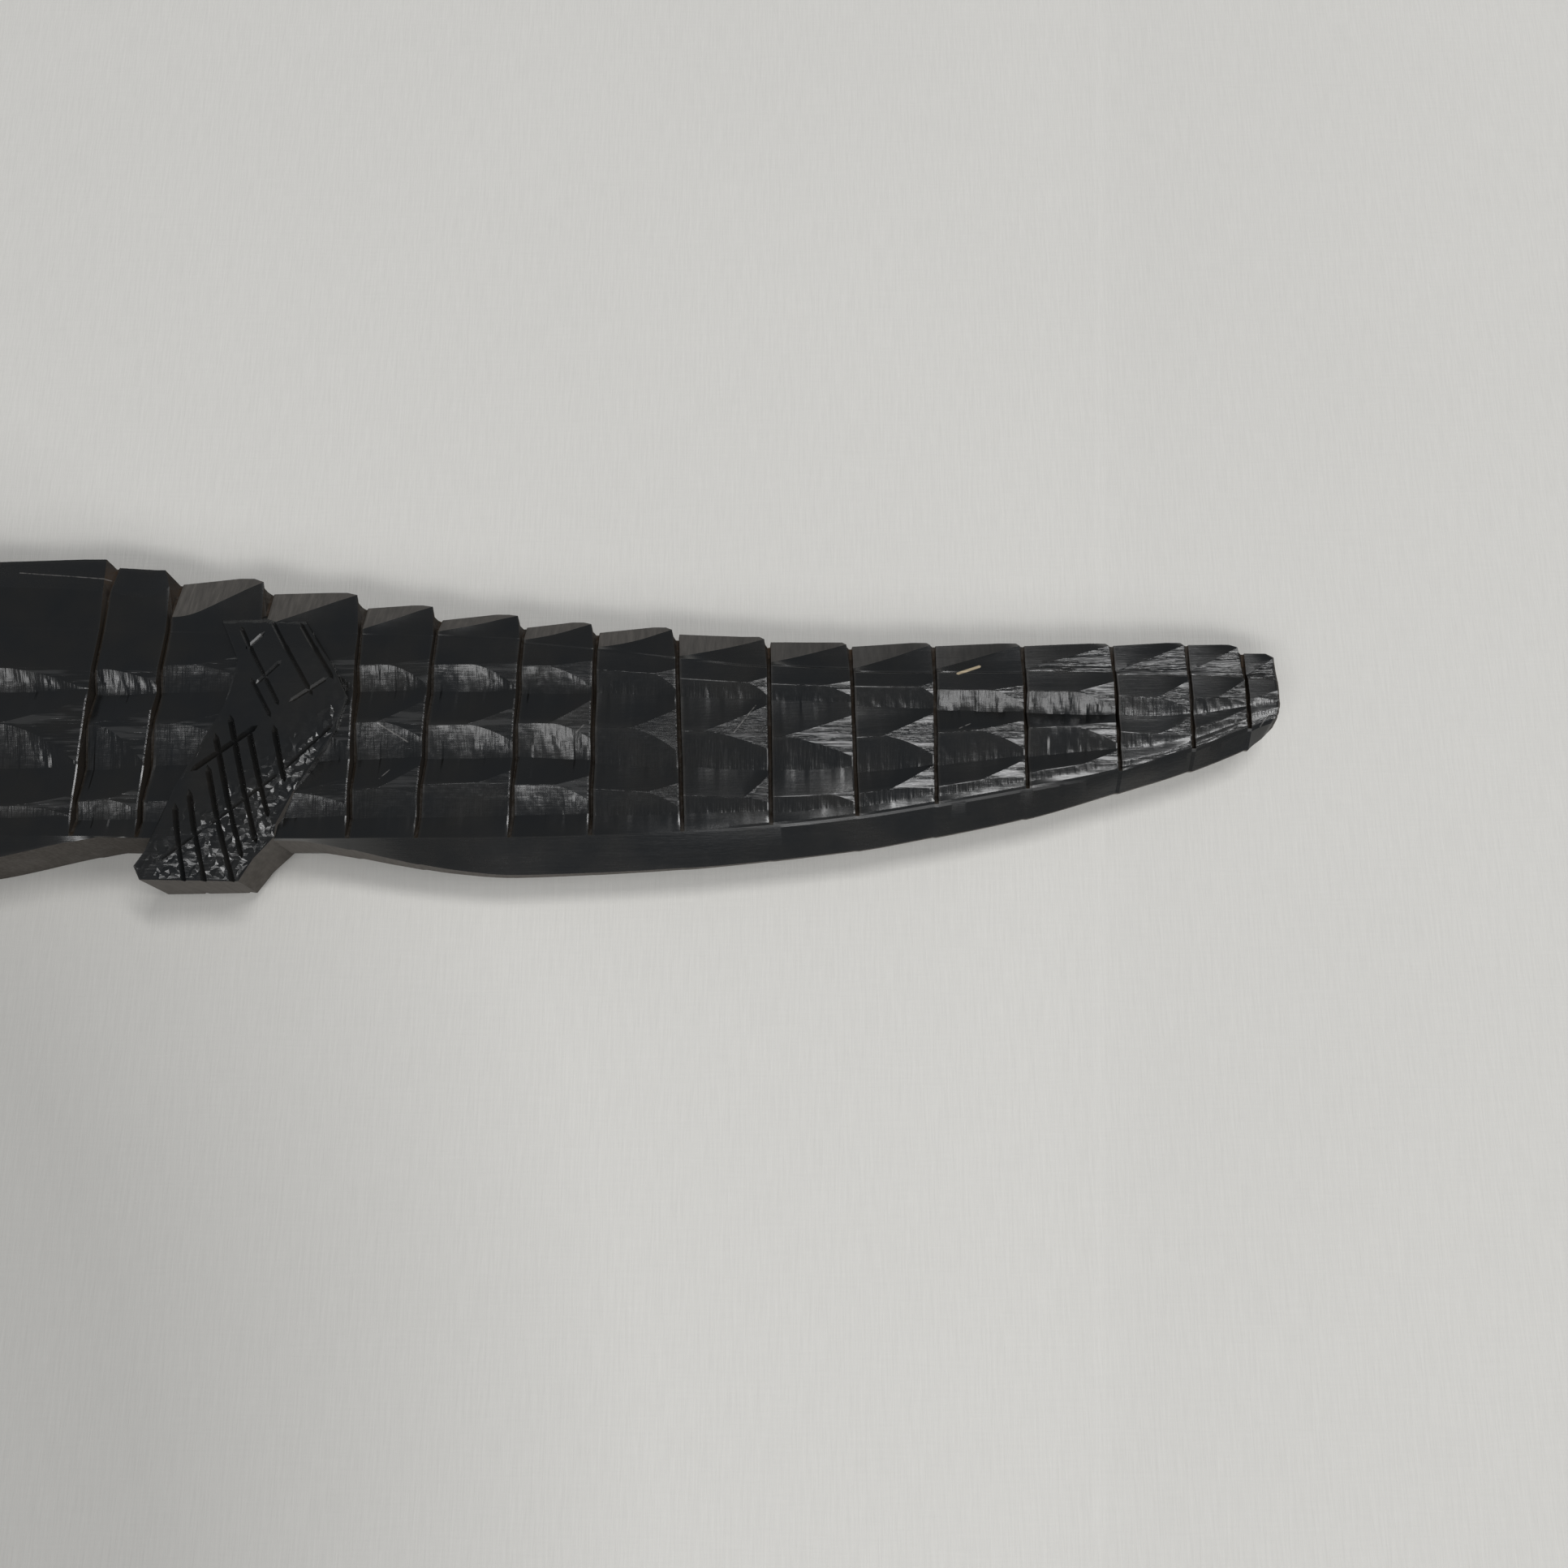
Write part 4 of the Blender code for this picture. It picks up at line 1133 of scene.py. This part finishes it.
def wood_material(settings):
    """Near-black polished wood: pale torn grain on the uncut faces, partly a painted highlight in place of
    their sheen, matte sawn bands, dusty kerfs, scratches and a painted highlight along the edge under the
    crest.
    """
    material = bpy.data.materials.new("blackwood_finish")
    material.use_nodes = True
    board = Board(material.node_tree)
    coords = board.node("ShaderNodeTexCoord", {}, {}, 3)
    sawn, dust, uncut, facet, wall, rust = (mark(board, name) for name in MARKS)
    wear = mark(board, WEAR)

    grain, fibres, clouds, grit, scrapes, saw_marks, flakes = (
        streaks(board, coords, *pattern) for pattern in PATTERNS.values())

    matte = sawn.most(facet * (0.5 + 0.5 * saw_marks)).clipped(0.0, 1.0)
    dusty = (dust * (0.3 + 1.2 * clouds) * (0.5 + grit)).clipped(*DUST_LIES)
    rusty = (rust * clouds.clipped(*RUST_CLOUDS)).clipped(0.0, 1.0)
    rubbed = wear.clipped(*WORN) * (1.0 - matte * 0.6)
    # Thin pale lines: the scratches, and a painted highlight along the edge under the body's crest
    scratch_and_highlight = beside(board, coords, SCRATCHES_AND_EDGE_HIGHLIGHT[0], SCRATCH_AND_HIGHLIGHT_REACH)
    for ends in SCRATCHES_AND_EDGE_HIGHLIGHT[1:]:
        scratch_and_highlight = scratch_and_highlight.most(beside(board, coords, ends, SCRATCH_AND_HIGHLIGHT_REACH))
    scratch_and_highlight = scratch_and_highlight * grit.clipped(*SCRATCH_AND_HIGHLIGHT_GRIT)
    chip = beside(board, coords, CHIP, CHIP_REACH).clipped(*CHIP_EDGE)

    dark = mixed(board, clouds.clipped(*WARM_CLOUDS), opaque(settings.wood_colour),
                 opaque(settings.warm_colour))
    # Pale torn grain on the uncut faces, partly a painted highlight in place of the sheen along its streaks
    torn = mixed(board, uncut ** 3.0 * grain.clipped(*TORN_AND_SHEEN_STREAKS) * TORN_AND_SHEEN_SHOWS, dark, TORN_WOOD_AND_PAINTED_SHEEN)
    planed = mixed(board, matte * (0.6 + 0.6 * saw_marks), torn, opaque(settings.sawn_colour))
    edged = mixed(board, rubbed * RUBBED_SHOWS, planed, RUBBED_WOOD)
    dusts = mixed(board, rusty, opaque(settings.dust_colour), opaque(settings.rust_colour))
    dusted = mixed(board, dusty.most(rusty), edged, dusts)
    # Lays the scratches and the painted highlight over the dusted wood
    scratched_and_highlighted = mixed(board, scratch_and_highlight * SCRATCH_AND_HIGHLIGHT_SHOWS, dusted, SCRATCH_AND_HIGHLIGHT_WOOD)
    colour = mixed(board, chip, scratched_and_highlighted, opaque(settings.chip_colour))

    rough = POLISH + 0.14 * clouds + 0.05 * grit
    rough = rough + matte * 0.42 + dusty * 0.5 + chip * 0.3

    relief = 0.3 * grain + 0.2 * fibres + uncut * (2.8 * grain.clipped(*RAISED_GRAIN) + 1.2 * fibres)
    relief = relief + 0.15 * grit + wall * (1.2 * scrapes + 1.3 * flakes) + matte * saw_marks * 0.8
    normal = board.node("ShaderNodeBump", {}, {
        "Strength": BUMP_STRENGTH, "Distance": BUMP_HEIGHT, "Height": relief})
    polished = board.node("ShaderNodeBsdfPrincipled", {}, {
        "Base Color": colour, "Roughness": rough.clipped(0.0, 1.0), "Normal": normal, "IOR": WOOD_IOR})
    matt = board.node("ShaderNodeBsdfPrincipled", {}, {
        "Base Color": colour, "Roughness": MATT, "Normal": normal, "Specular IOR Level": MATT_SHINE})
    shader = board.node("ShaderNodeMixShader", {}, {0: matte.most(dusty), 1: polished, 2: matt})
    board.node("ShaderNodeOutputMaterial", {}, {"Surface": shader})
    return material


def tool_marks(material):
    """Geometry nodes that sink small tool marks along the grain of the surface and give it its material."""
    tree = bpy.data.node_groups.new("tool_marks", "GeometryNodeTree")
    board = Board(tree)
    face = tree.interface
    face.new_socket("Carving", in_out="INPUT", socket_type="NodeSocketGeometry")
    kinds = {"Depth": "NodeSocketFloat", "Size": "NodeSocketFloat", "Seed": "NodeSocketInt"}
    for name, kind in kinds.items():
        face.new_socket(name, in_out="INPUT", socket_type=kind)
    face.new_socket("Carving", in_out="OUTPUT", socket_type="NodeSocketGeometry")
    entry = tree.nodes.new("NodeGroupInput")
    carving, depth, size, seed = (Wire(board, entry.outputs[i]) for i in range(4))
    position = board.node("ShaderNodeVectorMath", {"operation": "MULTIPLY"},
                          {0: board.node("GeometryNodeInputPosition"), 1: MARK_STRETCH})
    torn = board.node("GeometryNodeInputNamedAttribute", {"data_type": "FLOAT"}, {"Name": UNCUT})
    normal = board.node("GeometryNodeInputNormal")
    inverse = board.node("ShaderNodeMath", {"operation": "DIVIDE"}, {0: 1.0, 1: size})
    noise = board.node("ShaderNodeTexNoise", {"noise_dimensions": "4D"},
                       {"Vector": position, "W": seed, "Scale": inverse, "Detail": MARK_DETAIL})
    sunk = noise * depth * (1.0 + torn) * -1.0
    offset = board.node("ShaderNodeVectorMath", {"operation": "SCALE"}, {0: normal, "Scale": sunk})
    moved = board.node("GeometryNodeSetPosition", {}, {"Geometry": carving, "Offset": offset})
    real = board.node("GeometryNodeRealizeInstances", {}, {"Geometry": moved})
    done = board.node("GeometryNodeSetMaterial", {}, {"Geometry": real, "Material": material})
    out = tree.nodes.new("NodeGroupOutput")
    tree.links.new(done.socket, out.inputs[0])
    return tree


def run_tree(obj, tree, values):
    """Runs a geometry node tree on an object with its named inputs, and keeps the result as its mesh."""
    modifier = obj.modifiers.new(tree.name, "NODES")
    modifier.node_group = tree
    for item in tree.interface.items_tree:
        if item.in_out == "INPUT" and item.name in values:
            modifier[item.identifier] = values[item.name]
    bake_modifiers(obj)


class CarvingSettings(bpy.types.PropertyGroup):
    """Sizes and colours of the carving."""

    kerf_width: FloatProperty(
        name="Kerf Width", description="Width of a saw kerf between two rings",
        default=0.66 * MM, min=0.3 * MM, max=1.0 * MM, unit="LENGTH", subtype="DISTANCE")
    kerf_depth: FloatProperty(
        name="Kerf Depth", description="How far a kerf goes below the cuts beside it",
        default=0.8 * MM, min=0.2 * MM, max=1.5 * MM, unit="LENGTH", subtype="DISTANCE")
    chatter: FloatProperty(
        name="Chatter", description="Depth of the gouge's bites on the walls that face the belly",
        default=0.16 * MM, min=0.0, max=0.3 * MM, unit="LENGTH", subtype="DISTANCE")
    hatch_depth: FloatProperty(
        name="Hatch Depth", description="Depth of the knife cuts on the legs",
        default=0.8 * MM, min=0.1 * MM, max=1.2 * MM, unit="LENGTH", subtype="DISTANCE")
    mark_depth: FloatProperty(
        name="Tool Marks", description="Depth of the small uneven tool marks all over",
        default=0.10 * MM, min=0.0, max=0.3 * MM, unit="LENGTH", subtype="DISTANCE")
    mark_size: FloatProperty(
        name="Mark Size", description="Size of the small tool marks",
        default=1.9 * MM, min=0.5 * MM, max=8.0 * MM, unit="LENGTH", subtype="DISTANCE")
    seed: IntProperty(name="Seed", description="Seed of the small tool marks", default=SEED, min=0)
    wood_colour: FloatVectorProperty(
        name="Wood", description="Polished heartwood", subtype="COLOR", size=3, min=0.0, max=1.0,
        default=(0.0062, 0.0068, 0.0072))
    warm_colour: FloatVectorProperty(
        name="Warm Wood", description="Browner streaks of the heartwood", subtype="COLOR", size=3, min=0.0,
        max=1.0, default=(0.0095, 0.0088, 0.0075))
    sawn_colour: FloatVectorProperty(
        name="Sawn Wood", description="Matte sawn and rasped faces", subtype="COLOR", size=3, min=0.0,
        max=1.0, default=(0.122, 0.112, 0.101))
    dust_colour: FloatVectorProperty(
        name="Dust", description="Dust in the saw kerfs", subtype="COLOR", size=3, min=0.0, max=1.0,
        default=(0.022, 0.016, 0.011))
    rust_colour: FloatVectorProperty(
        name="Rust", description="Reddish dust in the notches of the crest", subtype="COLOR", size=3,
        min=0.0, max=1.0, default=(0.048, 0.031, 0.02))
    chip_colour: FloatVectorProperty(
        name="Chip", description="Bare wood of the chipped crest", subtype="COLOR", size=3, min=0.0,
        max=1.0, default=(0.42, 0.34, 0.22))


class StageSettings(bpy.types.PropertyGroup):
    """The cloth, the light and the camera."""

    cloth_colour: FloatVectorProperty(
        name="Cloth", description="Undyed cotton", subtype="COLOR", size=3, min=0.0, max=1.0,
        default=(0.745, 0.729, 0.691))
    thread: FloatProperty(
        name="Thread", description="Distance between two threads of the cloth",
        default=0.45 * MM, min=0.2 * MM, max=2.0 * MM, unit="LENGTH", subtype="DISTANCE")
    window: FloatProperty(
        name="Window", description="Power of the soft window light from the belly's side", default=8.0,
        min=0.0, unit="POWER")
    curtain: FloatProperty(
        name="Curtain", description="Power of the broad dim light around the window", default=7.0, min=0.0,
        unit="POWER")
    doorway: FloatProperty(
        name="Doorway", description="Power of the soft light that comes along the tail", default=8.0,
        min=0.0, unit="POWER")
    overhead: FloatProperty(
        name="Overhead", description="Power of the soft light beyond the tail", default=8.8, min=0.0,
        unit="POWER")
    ambient: FloatProperty(
        name="Ambient", description="Strength of the light from the room", default=0.17, min=0.0)


class CARVING_OT_carve_alligator(bpy.types.Operator):
    """Carves the alligator's fine surface in place of its plain solid"""

    bl_idname = "carving.carve_alligator"
    bl_label = "Carve Alligator"

    def execute(self, context):
        settings = context.scene.carving
        body = carved_body("carved_alligator", settings.kerf_width / MM / 2, settings.kerf_depth / MM,
                           settings.chatter / MM)
        shapes = [carved_leg(f"{name}_legs", start, settings.hatch_depth / MM)
                  for name, start in LEG_PLACES.items()]
        shapes.append(carved_boss("eyes", EYE, EYE_RINGS))
        shapes.append(carved_boss("nostrils", NOSTRIL, NOSTRIL_RINGS))
        combine(body, shapes, "UNION")
        material = wood_material(settings)
        run_tree(body, tool_marks(material),
                 {"Depth": settings.mark_depth, "Size": settings.mark_size, "Seed": settings.seed})
        mark_wear(body)
        body.data.shade_smooth()
        body.data.set_sharp_from_angle(angle=SHARP_ANGLE)
        if len(body.data.polygons) < LEAST_FACES:
            raise RuntimeError("the carving's surface is missing")
        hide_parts(NODE)
        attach(body, "root")
        return {"FINISHED"}


class CARVING_OT_lay_stage(bpy.types.Operator):
    """Lays the pale cloth, and places the soft light and the camera"""

    bl_idname = "carving.lay_stage"
    bl_label = "Lay Stage"

    def execute(self, context):
        settings = context.scene.carving_stage
        lay_cloth(settings)
        light_room(context.scene, settings)
        place_camera(context.scene)
        if not context.scene.camera or "cloth" not in context.scene.objects:
            raise RuntimeError("the cloth or the camera is missing")
        return {"FINISHED"}


def cloth_material(settings):
    """Plain-woven cotton with slubs, a painted soft shadow on it, and the painted highlight and shade of an
    old fold.
    """
    material = bpy.data.materials.new("cloth_finish")
    material.use_nodes = True
    board = Board(material.node_tree)
    coords = board.node("ShaderNodeTexCoord", {}, {}, 3)
    pitch = 1.0 / settings.thread
    warp = streaks(board, coords, pitch, (1.0, THREAD_STRETCH, 1.0), THREAD_DETAIL, THREAD_UNEVEN)
    weft = streaks(board, coords, pitch, (THREAD_STRETCH, 1.0, 1.0), THREAD_DETAIL, THREAD_UNEVEN)
    clouds = streaks(board, coords, *CLOTH_CLOUDS)
    weave = WARP * warp + WEFT * weft
    tone = (weave.clipped(*WEAVE_TONE) * 0.5 + clouds * 0.5).clipped(0.0, 1.0)
    away = board.node("ShaderNodeVectorMath", {"operation": "DISTANCE"}, {0: coords, 1: PAINTED_SHADOW_PLACE}, 1)
    x, y, _ = board.parts(coords)
    across = x - FOLD_LEAN * y - FOLD_PLACE
    painted_crease_highlight = (1.0 - across.size() * (1.0 / CREASE_REACH)).clipped(0.0, 1.0)
    level = CLOTH_DARKEST + (1.0 - CLOTH_DARKEST) * tone
    # Painted shadow: the cloth's colour darkens in a soft patch beyond the belly
    level = level * (PAINTED_SHADOW_LEAST + (1.0 - PAINTED_SHADOW_LEAST) * away.clipped(*PAINTED_SHADOW_REACH))
    # Painted highlight along the fold's crease, and painted shade behind it
    level = level * (1.0 - FOLD_PAINTED_SHADE * across.clipped(-FOLD_REACH, FOLD_REACH) + CREASE_PAINTED_HIGHLIGHT * painted_crease_highlight)
    colour = mixed(board, level, opaque((0.0, 0.0, 0.0)), opaque(settings.cloth_colour))
    normal = board.node("ShaderNodeBump", {}, {
        "Strength": WEAVE_STRENGTH, "Distance": WEAVE_HEIGHT, "Height": weave})
    shader = board.node("ShaderNodeBsdfPrincipled", {}, {
        "Base Color": colour, "Roughness": CLOTH_MATT, "Normal": normal, "Specular IOR Level": CLOTH_SHINE})
    board.node("ShaderNodeOutputMaterial", {}, {"Surface": shader})
    return material


def lay_cloth(settings):
    """A wide level cloth under the carving."""
    mesh = bpy.data.meshes.new("cloth")
    corners = [(x * CLOTH_HALF, y * CLOTH_HALF, LOW.z) for x, y in ((-1, -1), (1, -1), (1, 1), (-1, 1))]
    mesh.from_pydata(corners, [], [(0, 1, 2, 3)])
    mesh.materials.append(cloth_material(settings))
    cloth = bpy.data.objects.new("cloth", mesh)
    bpy.context.scene.collection.objects.link(cloth)


def area_light(name, spot, target, size, power):
    """A rectangular light that faces its target."""
    light = bpy.data.lights.new(name, "AREA")
    light.shape = "RECTANGLE"
    light.size, light.size_y = size
    light.energy = power
    obj = bpy.data.objects.new(name, light)
    obj.location = spot
    obj.rotation_euler = (Vector(target) - Vector(spot)).to_track_quat("-Z", "Y").to_euler()
    bpy.context.scene.collection.objects.link(obj)


def light_room(scene, settings):
    """A window on the belly's side with its curtain, two soft lights beyond the tail, and a dim room."""
    for name, (spot, target, size) in LIGHTS.items():
        area_light(name, spot, target, size, getattr(settings, name))
    world = bpy.data.worlds.new("room")
    world.use_nodes = True
    background = world.node_tree.nodes["Background"]
    background.inputs["Color"].default_value = ROOM_TINT
    background.inputs["Strength"].default_value = settings.ambient
    scene.world = world
    scene.view_settings.view_transform = "Standard"


def place_camera(scene):
    """The camera where the photograph was taken, above the tail and a little toward the belly."""
    data = bpy.data.cameras.new("camera")
    data.sensor_fit = "HORIZONTAL"
    data.sensor_width = SENSOR
    data.lens = FOCAL_SHARE * SENSOR
    camera = bpy.data.objects.new("camera", data)
    camera.location = CAMERA_PLACE
    camera.rotation_euler = (CAMERA_TILT, 0.0, 0.0)
    scene.collection.objects.link(camera)
    scene.camera = camera


class CARVING_PT_panel(bpy.types.Panel):
    """Lists the steps of the finish"""

    bl_label = "Carving"
    bl_idname = "CARVING_PT_panel"
    bl_space_type = "VIEW_3D"
    bl_region_type = "UI"
    bl_category = "Carving"

    def draw(self, context):
        layout = self.layout
        for settings in (context.scene.carving, context.scene.carving_stage):
            for name in settings.__annotations__:
                layout.prop(settings, name)
        layout.operator(CARVING_OT_carve_alligator.bl_idname)
        layout.operator(CARVING_OT_lay_stage.bl_idname)


CLASSES = (CarvingSettings, StageSettings, CARVING_OT_carve_alligator, CARVING_OT_lay_stage,
           CARVING_PT_panel)


def register():
    for cls in CLASSES:
        bpy.utils.register_class(cls)
    bpy.types.Scene.carving = PointerProperty(type=CarvingSettings)
    bpy.types.Scene.carving_stage = PointerProperty(type=StageSettings)


def unregister():
    del bpy.types.Scene.carving_stage
    del bpy.types.Scene.carving
    for cls in reversed(CLASSES):
        bpy.utils.unregister_class(cls)


def main():
    register()
    bpy.ops.carving.carve_alligator()
    bpy.ops.carving.lay_stage()
    bpy.context.view_layer.update()


if __name__ == "__main__":
    main()
